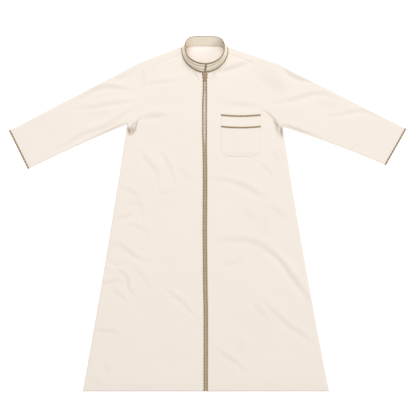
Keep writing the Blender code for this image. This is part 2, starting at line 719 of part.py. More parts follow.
def zip_strip(name, near, far, middle_below_face, wall, finish, top_y=None):
    """A strip along the centre front between two distances from it, on the rows of the fronts."""
    left = SIDES[1]
    rows = SKIRT_ROWS + CHEST_ROWS

    def place(i, j):
        y = front_inner(left, j).y
        if top_y is not None and j == rows:
            y = top_y
        y = max(y, HEM_Y + STRIP_FROM_HEM)
        return Vector((centre_x(y) + mix(near, far, i), y,
                       front_face(left, centre_x(y) + ZIP_GAP, y) - middle_below_face))
    return grid_piece(name, 1, rows, place, finish, wall, 0.0)


def add_block(name, low, high, cutter=False):
    """A block between two corners, as a primitive cube at its size and place."""
    bm = bmesh.new()
    bmesh.ops.create_cube(bm, size=1.0)
    for vert in bm.verts:
        vert.co = Vector([mix(a, b, c + 0.5) for a, b, c in zip(low, high, vert.co)])
    mesh = bpy.data.meshes.new(name)
    bm.to_mesh(mesh)
    bm.free()
    if not cutter:
        return new_object(name, mesh, ZIP_METAL)
    thing = bpy.data.objects.new(name, mesh)
    GUIDES.objects.link(thing)
    thing.hide_render = True
    thing.display_type = "WIRE"
    return thing


def add_boolean(thing, other, operation):
    boolean = thing.modifiers.new(other.name, "BOOLEAN")
    boolean.operation = operation
    boolean.object = other


def build_slider():
    """Two plates joined at the neck end, with an arch on top that holds the tab's bar."""
    x = centre_x(HINGE_Y)
    chain_low = FACE_Z - CHAIN_MIDDLE_BELOW_FACE - CHAIN_WALL / 2
    chain_high = chain_low + CHAIN_WALL
    low_z, high_z = chain_low - PLATE_GAP - PLATE, chain_high + PLATE_GAP
    slider = add_block("zip_slider", (x - SLIDER_HALF, SLIDER_LOW_Y, high_z),
                       (x + SLIDER_HALF, SLIDER_TOP_Y, high_z + 2 * PLATE))
    lower = add_block("slider_lower_plate", (x - SLIDER_HALF, SLIDER_LOW_Y + PLATE_SETBACK, low_z),
                      (x + SLIDER_HALF, SLIDER_TOP_Y - PLATE_SETBACK, low_z + PLATE), cutter=True)
    neck = add_block("slider_neck", (x - NECK_HALF, CHAIN_TOP_Y + SEAM_GAP, low_z + PLATE / 2),
                     (x + NECK_HALF, SLIDER_TOP_Y - 2 * PLATE_SETBACK, high_z + PLATE), cutter=True)
    plate_top = high_z + 2 * PLATE
    arch_run = ARCH_HOLE / 2 + ARCH_POST
    arch = add_block("slider_arch", (x - ARCH_HALF, HINGE_Y - arch_run, plate_top - PLATE),
                     (x + ARCH_HALF, HINGE_Y + arch_run, plate_top + ARCH_HOLE + ARCH_TOP), cutter=True)
    hole = add_block("arch_hole", (x - 2 * ARCH_HALF, HINGE_Y - ARCH_HOLE / 2, plate_top),
                     (x + 2 * ARCH_HALF, HINGE_Y + ARCH_HOLE / 2, plate_top + ARCH_HOLE), cutter=True)
    add_boolean(arch, hole, "DIFFERENCE")
    for piece in (lower, neck, arch):
        add_boolean(slider, piece, "UNION")
    return plate_top + ARCH_HOLE / 2


def outline_spline(curve, points):
    spline = curve.splines.new("POLY")
    spline.points.add(len(points) - 1)
    for point, (x, y) in zip(spline.points, points):
        point.co = (x, y, 0.0, 1.0)
    spline.use_cyclic_u = True


def build_pull_tab(hinge_z):
    """A flat tab: a ring round the arch at one end, widening to a round end with a small hole."""
    curve = bpy.data.curves.new("zip_pull", "CURVE")
    curve.dimensions = "2D"
    curve.fill_mode = "BOTH"
    curve.extrude = BAR / 2
    end_y = TAB_HALF - TAB_LENGTH
    outline = [(-RING_HALF, BAR / 2), (-RING_HALF, TAB_NECK_Y), (-TAB_HALF, TAB_WIDE_Y)]
    for k in range(TAB_STEPS + 1):
        angle = math.pi * (1 + k / TAB_STEPS)
        outline.append((TAB_HALF * math.cos(angle), end_y + TAB_HALF * math.sin(angle)))
    outline += [(TAB_HALF, TAB_WIDE_Y), (RING_HALF, TAB_NECK_Y), (RING_HALF, BAR / 2)]
    window_x = RING_HALF - RING_WALL
    window_y = -(ARCH_HOLE / 2 + ARCH_POST + RING_WALL)
    window = [(window_x, -BAR / 2), (window_x, window_y), (-window_x, window_y), (-window_x, -BAR / 2)]
    turns = [2 * math.pi * k / HOLE_STEPS for k in range(HOLE_STEPS)]
    hole = [(TAB_HOLE * math.cos(angle), end_y + TAB_HOLE * math.sin(angle)) for angle in turns]
    for points in (outline, window, hole):
        outline_spline(curve, points)
    tab = bpy.data.objects.new("zip_pull", curve)
    PARTS.objects.link(tab)
    curve.materials.append(new_material("zip_pull", ZIP_METAL))
    tab.location = (centre_x(HINGE_Y), HINGE_Y, hinge_z)


def build_zip():
    for side in SIDES:
        near, far = ((TAPE_INNER, TAPE_OUTER) if side.sign > 0 else (-TAPE_OUTER, -TAPE_INNER))
        zip_strip(f"zip_tape_{side.name}", near, far, CHAIN_MIDDLE_BELOW_FACE, TAPE_WALL, ZIP_CLOTH)
    zip_strip("zip_chain", -CHAIN_HALF, CHAIN_HALF, CHAIN_MIDDLE_BELOW_FACE, CHAIN_WALL, ZIP_TEETH,
              CHAIN_TOP_Y)
    build_pull_tab(build_slider())


clear_scene()
PARTS = new_collection("thobe_robe")
GUIDES = new_collection("thobe_robe_guides")
build_back()
for wearer_side in SIDES:
    build_front(wearer_side)
    build_sleeve(wearer_side)
    build_cuff_braid(wearer_side)
    build_front_braid(wearer_side)
build_collar()
build_pocket()
build_zip()
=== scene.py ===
"""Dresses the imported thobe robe: a cream robe laid out flat, with its braid, zip and stitching.

Metres, +Z up. The robe lies on its back on the floor, its neck towards +Y and the wearer's left
at +X. Every panel is a thin shell on the form of its solid, with the creases it has from lying.
"""

import json
import math
from collections import namedtuple

import bpy
import numpy as np
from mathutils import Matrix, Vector


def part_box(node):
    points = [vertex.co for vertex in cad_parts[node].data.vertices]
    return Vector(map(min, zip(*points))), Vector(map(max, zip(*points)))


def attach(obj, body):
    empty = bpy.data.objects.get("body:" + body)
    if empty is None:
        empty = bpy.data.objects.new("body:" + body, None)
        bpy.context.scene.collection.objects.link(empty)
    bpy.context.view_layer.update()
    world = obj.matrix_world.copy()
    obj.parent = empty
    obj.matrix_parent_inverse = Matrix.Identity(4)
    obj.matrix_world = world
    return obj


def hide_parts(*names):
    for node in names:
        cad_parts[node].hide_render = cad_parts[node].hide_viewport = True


bl_info = {
    "name": "Thobe robe",
    "version": (1, 0, 0),
    "blender": (4, 5, 0),
    "location": "View3D > Sidebar > Thobe",
    "description": "Panels, braid, zip and stitching of a thobe robe laid out flat",
    "category": "Object",
}

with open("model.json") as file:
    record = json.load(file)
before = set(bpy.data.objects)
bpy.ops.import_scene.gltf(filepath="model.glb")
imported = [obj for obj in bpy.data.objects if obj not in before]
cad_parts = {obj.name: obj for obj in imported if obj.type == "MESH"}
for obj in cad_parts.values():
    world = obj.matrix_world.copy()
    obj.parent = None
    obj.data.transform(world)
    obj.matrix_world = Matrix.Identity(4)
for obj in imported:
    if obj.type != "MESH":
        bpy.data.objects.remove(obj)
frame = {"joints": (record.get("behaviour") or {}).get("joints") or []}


# ---- the robe's plan, as in its solids
HEM_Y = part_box("front_left")[0].y
HEM_CENTRE_X, NECK_CENTRE_X = -0.0080, -0.0122
FRONT_NECK_Y, BACK_NECK_Y = 0.5625, 0.6735
FACE_Z = 0.0052             # height of the upper layer's face
HEM_Z = 0.0042              # the same at the hem
HEM_FALL = 0.07             # it sinks towards the hem over this length
SEAM_Z = 0.0016             # the same at the side seams, where it meets the back
ROLL = 0.010                # it rolls down to the side seams over this width
LOWEST_FACE_Z = 0.0019      # no crease sinks it below this height
BRAID, COLLAR_BRAID = 0.0062, 0.0055
COLLAR_HEIGHT = 0.0425
ZIP_GAP = 0.0026            # half the distance between the two fronts

# By height up the robe: half the distance between the fronts' edges as they lie, and how far the
# zip wavers from its straight line.
ZIP_OPENS = ((0.263, ZIP_GAP), (0.320, 0.0034), (0.440, 0.0034), (0.467, 0.0032), (0.490, 0.0025),
             (0.532, 0.0023), (0.541, 0.0026), (0.5505, 0.0043), (0.5575, 0.0048))
ZIP_WAVER = ((-0.700, 0.0), (-0.633, 0.0002), (-0.500, 0.0011), (-0.380, 0.0011), (-0.313, 0.0),
             (-0.249, -0.0007), (-0.121, -0.0014), (-0.057, -0.0016), (0.007, -0.0009), (0.100, 0.0),
             (0.180, 0.0), (0.263, -0.0008), (0.327, -0.0014), (0.400, -0.0014), (0.455, -0.0008),
             (0.480, 0.0003), (0.520, 0.0008), (0.545, 0.0007), (0.5625, 0.0))

# Plan positions of the corners of the robe, one row for each side of the wearer.
Side = namedtuple("Side", "name sign hem_corner underarm tip neck cuff_top cuff_low side_bow arm_bow")
SIDES = (
    Side("right", -1, (-0.5010, HEM_Y), (-0.3230, 0.359), (-0.2830, 0.601), (-0.1080, 0.670),
         (-0.7955, 0.3330), (-0.7195, 0.1790), 0.004, 0.004),
    Side("left", 1, (0.4870, HEM_Y), (0.3010, 0.349), (0.2850, 0.599), (0.0845, 0.668),
         (0.7955, 0.3400), (0.7135, 0.1950), 0.006, 0.005),
)
ARMHOLE = {
    "right": ((-0.2830, 0.601), (-0.2680, 0.565), (-0.2640, 0.500), (-0.2680, 0.440), (-0.2850, 0.402),
              (-0.3230, 0.359)),
    "left": ((0.2850, 0.599), (0.2690, 0.565), (0.2590, 0.500), (0.2580, 0.440), (0.2680, 0.398),
             (0.3010, 0.349)),
}
ARMHOLE_SEAM_SHARE = 0.19   # the shoulder seam meets the armhole this far down it

# Rings round the neck: half a rounded oblong behind cy and another before it, cut open at cut_x.
Loop = namedtuple("Loop", "cx cy half_width back_depth back_power front_depth front_power cut_x")
COLLAR_SEAM = Loop(-0.0114, 0.6500, 0.0930, 0.0225, 6.5, 0.0870, 1.83, -0.0135)
COLLAR_RIM = Loop(-0.0119, 0.6560, 0.0779, 0.0512, 3.4, 0.0583, 2.02, -0.0058)
NECK_CLOTH = Loop(-0.0108, 0.6494, 0.0735, 0.0240, 3.0, 0.0, 0.0, 0.0)
NECKLINE_TUCK = 0.0010      # the fronts reach this far under the collar's seam
NECKLINE_END = 1.42         # angle round the collar at which the shoulder seam meets it

# Creases in the cloth, in millimetres. Each sinks by depth, or rises where that is negative, along the
# smooth curve through its points x, y, x, y and so on. ridge is the height of the fold on its left, as
# a share of depth, and the fourth column is how much painted shade darkens its floor.
Crease = namedtuple("Crease", "half_width depth ridge dark points")


def creases(*rows):
    """The rows of a table as creases, in metres."""
    return [Crease(half_width / 1000, depth / 1000, ridge, dark, np.reshape(points, (-1, 2)) / 1000)
            for half_width, depth, ridge, dark, *points in rows]


FRONT_CREASES = creases(
    # the left front's folds
    (13, 2.4, 0.7, 0.03, 25, 133, 81, 125, 129, 111, 169, 91, 201, 73, 229, 69),
    (13, 1.2, 0.5, 0.03, 241, 25, 273, 5, 317, -27),
    (15, 2.2, 0.7, 0.03, 25, -114, 97, -112, 161, -116, 217, -136, 265, -174, 301, -212),
    (13, 3.6, 0.8, 0.03, 249, -159, 281, -187, 313, -229, 345, -275, 377, -315, 409, -363),
    (11, 1.2, 0.5, 0.03, 169, -350, 201, -386, 237, -422),
    (12, 2.1, 0.7, 0.03, 217, -346, 257, -390, 305, -440, 353, -474, 393, -502, 425, -526),
    (12, 2, 0.6, 0.03, 29, -542, 73, -576, 113, -604, 149, -636),
    (10, 1.3, 0.5, 0.03, 41, -209, 85, -206, 121, -192, 157, -158),
    (10, 1.2, 0.5, 0.03, 185, 214, 221, 186, 245, 163, 265, 138),
    (13, 0.6, 0.4, 0.03, 141, 13, 161, -7, 189, -35),
    (11, 0.6, -0.4, 0.03, 221, -6, 229, -42, 229, -82),
    (12, 0.7, 0.4, 0.03, 117, -494, 129, -526, 137, -566),
    (9, 0.6, 0.4, 0.03, 257, 251, 269, 227, 293, 199),
    (11.2, 3.1, 0.5, 0.06, 22, 564, 57, 570, 91, 576, 133, 591, 181, 608),
    (13.5, 2.2, 0.4, 0.03, 73, 437, 129, 429, 169, 427, 201, 426),
    (26, 1.5, -0.3, 0.08, 201, 555, 249, 531, 281, 507, 301, 471),
    (12, 0.8, 0.4, 0.03, 177, 482, 201, 498, 225, 522),
    (5.5, 1.9, 0.4, 0.14, 38, 570, 23, 553, 10, 530),
    # the right front's folds
    (5.5, 1.6, 0.4, 0.12, -60, 568, -45, 552, -32, 530),
    (12, 2.6, 0.5, 0.06, -279, 377, -235, 383, -200, 387, -168, 391),
    (9.5, 1.1, 0.5, 0.03, -255, 515, -207, 521, -159, 525, -91, 535),
    (12.5, 1.8, 0.6, 0.03, -283, 253, -243, 205, -215, 169, -199, 113),
    (11.5, 1.8, 0.6, 0.03, -203, 254, -175, 218, -153, 178, -135, 122),
    (14, 0.9, 0.4, 0.03, -127, 185, -103, 165, -79, 145, -43, 137),
    (10, 1.3, 0.5, 0.03, -355, 106, -319, 90, -291, 74, -275, 38),
    (9, 1.1, 0.5, 0.03, -323, 39, -287, 35, -255, 29),
    (8.5, 1.7, 0.6, 0.03, -387, -21, -347, -21, -319, -11, -287, 15),
    (10, 0.9, -0.4, 0.03, -275, 35, -267, 2, -263, -38),
    (11, 1.4, 0.5, 0.03, -327, -46, -291, -54, -263, -62, -239, -90),
    (10.5, 1.9, 0.6, 0.03, -387, -126, -355, -128, -331, -146, -307, -166, -279, -182, -239, -190),
    (8.5, 1.6, -0.6, 0.03, -411, -173, -387, -201, -359, -207, -331, -197),
    (8.5, 2.2, 0.6, 0.03, -371, -217, -343, -239, -325, -261, -323, -289, -313, -313, -287, -329),
    (8.5, 1.9, 0.5, 0.03, -427, -281, -395, -279, -371, -271, -343, -265),
    (12, 1.2, 0.5, 0.03, -307, -210, -279, -238, -259, -260, -239, -298),
    (9, 1.2, 0.5, 0.03, -387, -301, -363, -323, -339, -341, -319, -357),
    (10, 2.1, 0.6, 0.03, -175, -301, -143, -328, -111, -353, -83, -382, -55, -410),
    (8.5, 1.8, 0.7, 0.03, -459, -471, -419, -473, -387, -475, -355, -481),
    (11, 0.8, -0.4, 0.03, -427, -594, -407, -622, -391, -654),
    (9, 0.7, 0.4, 0.03, -463, -673, -439, -679, -415, -689),
    (12, 0.7, 0.4, 0.03, -199, 78, -171, 82, -147, 94),
    # the armhole seam's dip on the right front
    (5.8, 1.3, 0, 0.06, -273, 601, -263, 571, -259, 539, -261, 499),
    # small puckers under the collar
    (5, 0.9, 0.4, 0.03, 3, 535, 12, 546, 28, 560),
    (5, 0.9, -0.4, 0.03, -34, 533, -46, 545, -62, 556),
    # tucks under the arms, their floors darkened with painted shade
    (4.2, 2.6, 0.5, 0.55, -268, 381, -283, 369, -287, 355, -292, 335, -299, 323, -308, 315, -322, 310),
    (3.6, 1.4, 0.3, 0.38, -290, 367, -299, 357, -304, 345),
    (8.5, 2.8, 0, 0.85, -322, 349, -316, 338, -313, 326, -316, 314),
    (7, 1.6, 0, 0.6, -306, 352, -302, 336, -308, 312),
    (4.6, 2, -0.5, 0.34, 214, 413, 233, 407, 249, 395, 259, 385, 267, 377, 276, 368, 284, 352),
    (4, 2.4, -0.4, 0.52, 264, 375, 270, 355, 275, 343, 278, 333, 283, 321, 289, 303),
    (7, 2.8, 0, 0.8, 292, 352, 294.5, 331, 296.5, 303),
    (5.8, 1, 0, 0.66, 260, 383, 271, 365, 281, 350, 287, 338),
)
SLEEVE_CREASES = creases(
    (10.5, 2.6, 0.6, 0.05, -519, 454, -479, 476, -443, 494, -399, 504, -351, 499, -307, 494),
    (9.5, 2, 0.6, 0.03, -535, 415, -471, 421, -415, 431, -351, 441, -279, 449),
    (10.5, 2.3, 0.7, 0.03, -615, 246, -551, 284, -503, 310, -447, 330, -395, 350, -355, 378, -323, 400,
     -283, 424),
    (9, 1.4, 0.4, 0.05, -383, 523, -343, 543, -295, 567),
    (10, 0.6, 0.4, 0.03, -487, 395, -431, 395, -383, 402),
    (8.5, 3.2, 0.3, 0.12, 305, 575, 337, 549, 369, 535, 417, 525),
    (26, 1.5, -0.3, 0.08, 201, 555, 249, 531, 281, 507, 301, 471),
    (10.5, 2.7, 0.6, 0.03, 257, 438, 301, 445, 345, 453, 385, 465, 425, 475, 465, 474, 509, 458),
    (10, 2.3, 0.6, 0.03, 473, 387, 537, 393, 569, 401, 609, 406, 641, 401, 681, 381),
    (12, 0.9, 0.4, 0.03, 425, 430, 473, 434, 521, 438),
    (8, 1.1, 0.4, 0.03, 553, 247, 577, 259, 601, 275),
    (9, 0.9, 0.4, 0.03, 465, 287, 485, 303, 505, 323),
    # the undersides of the sleeves, where they turn in at the arms, with painted shade along them
    (4.6, 1.4, 0, 0.26, -495, 289, -439, 314, -387, 337, -347, 354, -315, 361),
    (5, 1.4, 0, 0.28, 289, 357, 317, 353, 353, 339, 401, 323, 457, 303),
)
BACK_CREASES = creases(
    (13, -0.6, 0, 0.03, -330, 240, -180, 150, -60, 120),
    (12, -0.5, 0, 0.03, 120, 180, 240, 90, 330, 60),
    (14, -0.7, 0, 0.03, -380, -160, -210, -260, -80, -380),
    (14, -0.6, 0, 0.03, 60, -120, 210, -200, 380, -240),
    (12, -0.5, 0, 0.03, -430, -450, -300, -520, -180, -540),
    (13, -0.6, 0, 0.03, 150, -420, 280, -530, 400, -570),
    (13, -0.6, 0, 0.03, -150, 430, 0, 400, 140, 425),
)
CREASE_STEPS = 28
CREASE_REACH = 4            # in half widths, past which a crease does nothing
CREASE_END = 0.07           # share of its length by which a crease runs out at each end
CREASE_NARROWS = 0.65       # its width where it runs out, as a share
RIDGE_AWAY, RIDGE_WIDTH = 1.8, 1.2          # of the fold beside it, in half widths


# ---- plan geometry, on arrays
def mix(a, b, t):
    return a + (b - a) * t


def smooth(t):
    t = np.clip(t, 0.0, 1.0)
    return t * t * (3 - 2 * t)


def column(values):
    return np.asarray(values, float)[..., None]


def points_of(*parts):
    """Points from the arrays of their coordinates."""
    return np.stack(parts, axis=-1)


def raised(plan, z):
    """Plan points at their heights."""
    return np.concatenate((plan, z[..., None]), axis=-1)


def length_of(vectors):
    return np.sqrt((vectors * vectors).sum(axis=-1))


def unit(vectors):
    return vectors / column(length_of(vectors))


def leftwards(vectors):
    """Plan vectors turned a quarter to the left."""
    return points_of(-vectors[..., 1], vectors[..., 0])


def travelled(line):
    """The length along a line up to each of its points."""
    return np.concatenate(([0.0], np.cumsum(length_of(np.diff(line, axis=0)))))


def curve_at(points, t):
    """Points of the smooth curve through points, t from 0 to 1 by row."""
    p = np.array(points, float)
    ends = np.vstack((2 * p[0] - p[1], p, 2 * p[-1] - p[-2]))
    place = np.clip(np.asarray(t, float), 0.0, 1.0) * (len(p) - 1)
    k = np.minimum(place.astype(int), len(p) - 2)
    f = column(place - k)
    p0, p1, p2, p3 = ends[k], ends[k + 1], ends[k + 2], ends[k + 3]
    return 0.5 * (2 * p1 + (p2 - p0) * f + (2 * p0 - 5 * p1 + 4 * p2 - p3) * f * f
                  + (3 * p1 - p0 - 3 * p2 + p3) * f * f * f)


def centre_x(y):
    straight = mix(HEM_CENTRE_X, NECK_CENTRE_X, (y - HEM_Y) / (FRONT_NECK_Y - HEM_Y))
    return straight + np.interp(y, *zip(*ZIP_WAVER))


def opening_half(y):
    return np.interp(y, *zip(*ZIP_OPENS))


def side_edge(side, t):
    """The side seam, from the hem at t = 0 to the underarm at t = 1."""
    t = np.asarray(t, float)
    line = mix(np.array(side.hem_corner), np.array(side.underarm), column(t))
    line[..., 0] -= side.sign * side.side_bow * 4 * t * (1 - t)
    return line


def armhole(side, t):
    return curve_at(ARMHOLE[side.name], t)


def armhole_outward(side, t, step=0.02):
    along = armhole(side, np.minimum(t + step, 1.0)) - armhole(side, np.maximum(t - step, 0.0))
    return unit(leftwards(along) * side.sign)


def loop_point(loop, angle):
    """A point of the loop; angle 0 is its front, growing towards the wearer's right."""
    across, along = -np.sin(angle), -np.cos(angle)
    depth = np.where(along > 0, loop.back_depth, loop.front_depth)
    power = np.where(along > 0, loop.back_power, loop.front_power)
    return points_of(loop.cx + loop.half_width * np.copysign(np.abs(across) ** (2 / power), across),
                     loop.cy + depth * np.copysign(np.abs(along) ** (2 / power), along))


def inside_loop(loop, x, y):
    behind = y > loop.cy
    depth = loop.back_depth if behind else loop.front_depth
    power = loop.back_power if behind else loop.front_power
    return abs((x - loop.cx) / loop.half_width) ** power + abs((y - loop.cy) / depth) ** power < 1


def even_points(line, count, skip_first=0.0, skip_last=0.0):
    """count points at even steps along a line, less a little at its ends."""
    so_far = travelled(line)
    want = np.linspace(skip_first, so_far[-1] - skip_last, count)
    return points_of(*(np.interp(want, so_far, part) for part in line.T))


def loop_stations(loop, count, slack, steps=1500):
    """An odd count of points round the loop, even from its front cut to its back and on."""
    cut = -math.asin((loop.cut_x - loop.cx) / loop.half_width)
    right = loop_point(loop, np.linspace(cut, math.pi, steps))
    left = loop_point(loop, np.linspace(math.pi, cut + 2 * math.pi, steps))
    half = count // 2 + 1
    return np.vstack((even_points(right, half, skip_first=slack),
                      even_points(left, half, skip_last=slack)[1:]))


def neckline(side, t):
    """The front's edge under the collar, from the zip at t = 0 to the shoulder seam at t = 1."""
    loop = COLLAR_SEAM._replace(half_width=COLLAR_SEAM.half_width - NECKLINE_TUCK,
                                front_depth=COLLAR_SEAM.front_depth - NECKLINE_TUCK)
    start = math.asin(float(opening_half(FRONT_NECK_Y)) / loop.half_width)
    return loop_point(loop, -side.sign * mix(start, NECKLINE_END, np.asarray(t, float)))


def neck_corner_y(side):
    """Height up the robe at which a front's edge meets the neckline."""
    return float(neckline(side, 0.0)[1])


def shoulder_fold(side, t):
    return mix(np.array(side.tip), np.array(side.neck), column(t))


def shoulder_seam(side, t):
    return mix(armhole(side, ARMHOLE_SEAM_SHARE), neckline(side, 1.0), column(t))


# ---- height of the cloth
def crease_relief(creases, x, y):
    """What the creases add to the height at plan points, and how much painted shade each point takes from
    them.
    """
    lift, shade = np.zeros_like(x), np.zeros_like(x)
    for crease in creases:
        line = curve_at(crease.points, np.linspace(0, 1, CREASE_STEPS))
        reach = CREASE_REACH * crease.half_width
        near = ((x > line[:, 0].min() - reach) & (x < line[:, 0].max() + reach)
                & (y > line[:, 1].min() - reach) & (y < line[:, 1].max() + reach))
        px, py = x[near], y[near]
        best, aside, at = np.full_like(px, 9.0), np.zeros_like(px), np.zeros_like(px)
        for k, (a, b) in enumerate(zip(line, line[1:])):
            run = b - a
            size = math.hypot(*run)
            ahead = run / size
            share = np.clip(((px - a[0]) * ahead[0] + (py - a[1]) * ahead[1]) / size, 0, 1)
            away = np.hypot(px - a[0] - run[0] * share, py - a[1] - run[1] * share)
            turn = ahead[0] * (py - a[1]) - ahead[1] * (px - a[0])
            closer = away < best
            aside = np.where(closer, np.copysign(away, turn), aside)
            at = np.where(closer, (k + share) / (len(line) - 1), at)
            best = np.where(closer, away, best)
        taper = np.sin(math.pi * mix(CREASE_END, 1 - CREASE_END, at))
        across = aside / (crease.half_width * mix(CREASE_NARROWS, 1.0, taper))
        trough = np.exp(-across * across)
        beside = np.exp(-((across - math.copysign(RIDGE_AWAY, crease.ridge)) / RIDGE_WIDTH) ** 2)
        lift[near] += crease.depth * taper * (abs(crease.ridge) * beside - trough)
        # painted shade: each crease's floor takes its share of the painted crease shade colour
        shade[near] = np.maximum(shade[near], crease.dark * taper * trough)
    return lift * sizes().crease_strength, shade


# Long, shallow waves of cloth that lies loosely: direction in degrees, wavelength, height and phase.
WAVES = ((20, 0.230, 0.00026, 0.3), (75, 0.170, 0.00022, 1.9), (128, 0.200, 0.00022, 4.1),
         (155, 0.110, 0.00012, 2.6), (50, 0.090, 0.00010, 5.2), (100, 0.070, 0.00007, 0.9))
WAVE_BEND = 1.3             # their crests bend this much, in radians of phase


def soft_waves(x, y):
    total = np.zeros_like(x)
    bend = WAVE_BEND * np.sin(9 * x - 7 * y)
    for degrees, length, height, phase in WAVES:
        turn = math.radians(degrees)
        along = (x * math.cos(turn) + y * math.sin(turn)) / length
        total += height * np.sin(2 * math.pi * along + phase + bend)
    return total


SEAM_DIP = 0.0003           # the cloth sinks this much into a seam
SEAM_REACH = 0.0042
SEAM_LAP = 0.0012           # one cloth passes under the other this far at a seam
LAP_SINK = 0.0007
ARMHOLE_SHOWS = {"right": 0.6, "left": 0.1}    # how clearly the armhole seam shows on each side
HEM_DEPTH = 0.036           # the hem's stitch line lies this far above its edge
HEM_DROP = 0.0018           # the hem sinks on to the back this far, away from the zip
HEM_DROP_WITHIN = 0.045
HEM_FULL = 0.0003           # the hem is doubled cloth, so it stands this much higher
HEM_STEP = 0.002
HEM_GROOVE = 0.0005         # depth of the groove along its stitches
CUFF_HEM = 0.016            # the cuff's stitch line lies this far from its edge
GROOVE = 0.0016             # half width of the groove that a line of stitches pulls
ROLL_ENDS = 0.012           # the roll of the fronts' sides ends within this length of the underarm
# The creases start, and the hem drops, this far from the zip and over this width.
CREASES_START, HEM_DROP_STARTS = (0.004, 0.030), (0.015, 0.060)
TOP_STARTS = (0.6, 0.4)     # where a turned edge starts to follow the face's creases, as shares of its height


def groove(away, depth):
    return -depth * np.exp(-(away / GROOVE) ** 2)


def calm_height(y):
    """Height of the upper layer's face by the zip: it sinks towards the hem."""
    return mix(HEM_Z, FACE_Z, smooth((y - HEM_Y) / HEM_FALL))


def beyond(start, distance):
    """0 up to a start and 1 past its width, with a soft step between."""
    return smooth((distance - start[0]) / start[1])


def near_top(share):
    """0 on the lower part of a turned edge's height, growing to 1 at its top."""
    return beyond(TOP_STARTS, share)


def front_height(side, x, y):
    """Height of the fronts' outer face at plan points, and the painted shade of the creases there."""
    x, y = np.asarray(x, float), np.asarray(y, float)
    t = (y - HEM_Y) / (side.underarm[1] - HEM_Y)
    from_side = side.sign * (side_edge(side, np.clip(t, 0, 1))[..., 0] - x)
    round_off = np.sqrt(1 - (1 - np.clip(from_side / ROLL, 0, 1)) ** 2)
    round_off = mix(round_off, 1.0, smooth((t - 1) / ROLL_ENDS))
    lift, shade = crease_relief(FRONT_CREASES, x, y)
    from_zip = np.abs(x - centre_x(y))
    creased = beyond(CREASES_START, from_zip)
    top = calm_height(y) + (lift + soft_waves(x, y)) * creased
    top = top - HEM_DROP * beyond(HEM_DROP_STARTS, from_zip) * smooth(1 - (y - HEM_Y) / HEM_DROP_WITHIN)
    from_stitches = y - HEM_Y - HEM_DEPTH
    top = top + groove(from_stitches, HEM_GROOVE) + HEM_FULL * smooth(-from_stitches / HEM_STEP)
    top = np.maximum(top, LOWEST_FACE_Z)
    return mix(SEAM_Z, top, round_off), shade * creased


# ---- sizes and colours to change
def length_property(name, description, default):
    return bpy.props.FloatProperty(name=name, description=description, default=default, unit="LENGTH")


class ThobeSizes(bpy.types.PropertyGroup):
    cloth_wall: length_property("Cloth", "Thickness of the robe's cloth", 0.0006)
    crease_strength: bpy.props.FloatProperty(
        name="Creases", description="How strongly the lying cloth is creased", default=1.0,
        subtype="FACTOR", min=0.0, max=1.5)
    braid_pitch: length_property("Scallop", "Length of one scallop of the braid", 0.0125)
    stitch_pitch: length_property("Stitch", "Length from one stitch to the next", 0.0032)
    coil_pitch: length_property("Zip coil", "Length from one turn of the zip's coil to the next", 0.0016)


def colour_property(name, description, default):
    return bpy.props.FloatVectorProperty(
        name=name, description=description, default=default, subtype="COLOR", size=3, min=0.0, max=1.0)


class ThobeColours(bpy.types.PropertyGroup):
    cloth: colour_property("Cloth", "Cream cloth of the robe", (0.842, 0.768, 0.696))
    # painted light: the cloth inside the neck is given a lighter colour where the collar shades it
    neck: colour_property("Inside of the neck", "Cream cloth inside the neck, painted lighter", (0.915, 0.845, 0.785))
    # painted shade round the cloth inside the neck, where the collar's walls shade it
    painted_neck_shade: colour_property("Facing", "Facing round the inside of the neck", (0.76, 0.63, 0.48))
    # painted shade: the colour that crease floors and the collar's inside are darkened towards
    fold: colour_property("Painted crease shade", "Cream cloth in the floor of a deep crease", (0.30, 0.22, 0.12))
    collar: colour_property("Collar", "Cloth of the collar band", (0.93, 0.84, 0.71))
    collar_figure: colour_property("Collar figure", "Woven figure of the collar band", (0.56, 0.46, 0.32))
    lining: colour_property("Collar inside", "Inner side of the collar band", (0.96, 0.86, 0.72))
    olive: colour_property("Olive thread", "Dark thread of the braid", (0.34, 0.25, 0.12))
    tan: colour_property("Tan thread", "Light thread of the braid", (0.66, 0.46, 0.26))
    cord: colour_property("Collar cord", "Inner thread of the collar's braid", (0.23, 0.165, 0.08))
    tape: colour_property("Zip tape", "Tape of the zip", (0.70, 0.60, 0.50))
    coil: colour_property("Zip coil", "Coil of the zip", (0.72, 0.63, 0.54))
    # painted light: the coil in the gap between the fronts is lighter on the chest
    coil_painted_light: colour_property("Zip coil, painted light", "Painted light on the zip's coil on the chest", (0.98, 0.94, 0.88))
    metal: colour_property("Zip metal", "Slider and pull tab", (0.41, 0.27, 0.20))
    thread: colour_property("Sewing thread", "Thread of the visible stitches", (0.835, 0.760, 0.685))


def sizes():
    return bpy.context.scene.thobe_sizes


def paint(name, strength=1.0):
    """A colour of the panel by name, darker or lighter by strength."""
    return tuple(strength * part for part in getattr(bpy.context.scene.thobe_colours, name))


# ---- mesh tools
BODY = "garment"


def make_active(thing, *others):
    """Selects the things and nothing else, the first of them active."""
    for selected in bpy.context.selected_objects:
        selected.select_set(False)
    for chosen in (thing, *others):
        chosen.select_set(True)
    bpy.context.view_layer.objects.active = thing


def apply_transform(location=True, rotation=True, scale=True):
    bpy.ops.object.transform_apply(location=location, rotation=rotation, scale=scale)


def apply_modifiers(thing):
    make_active(thing)
    for modifier in list(thing.modifiers):
        bpy.ops.object.modifier_apply(modifier=modifier.name)


def weld(thing, within, outwards=False):
    """Joins the points of a mesh that lie together, and may turn its faces outwards."""
    make_active(thing)
    bpy.ops.object.mode_set(mode="EDIT")
    bpy.ops.mesh.select_all(action="SELECT")
    bpy.ops.mesh.remove_doubles(threshold=within)
    if outwards:
        bpy.ops.mesh.normals_make_consistent(inside=False)
    bpy.ops.object.mode_set(mode="OBJECT")


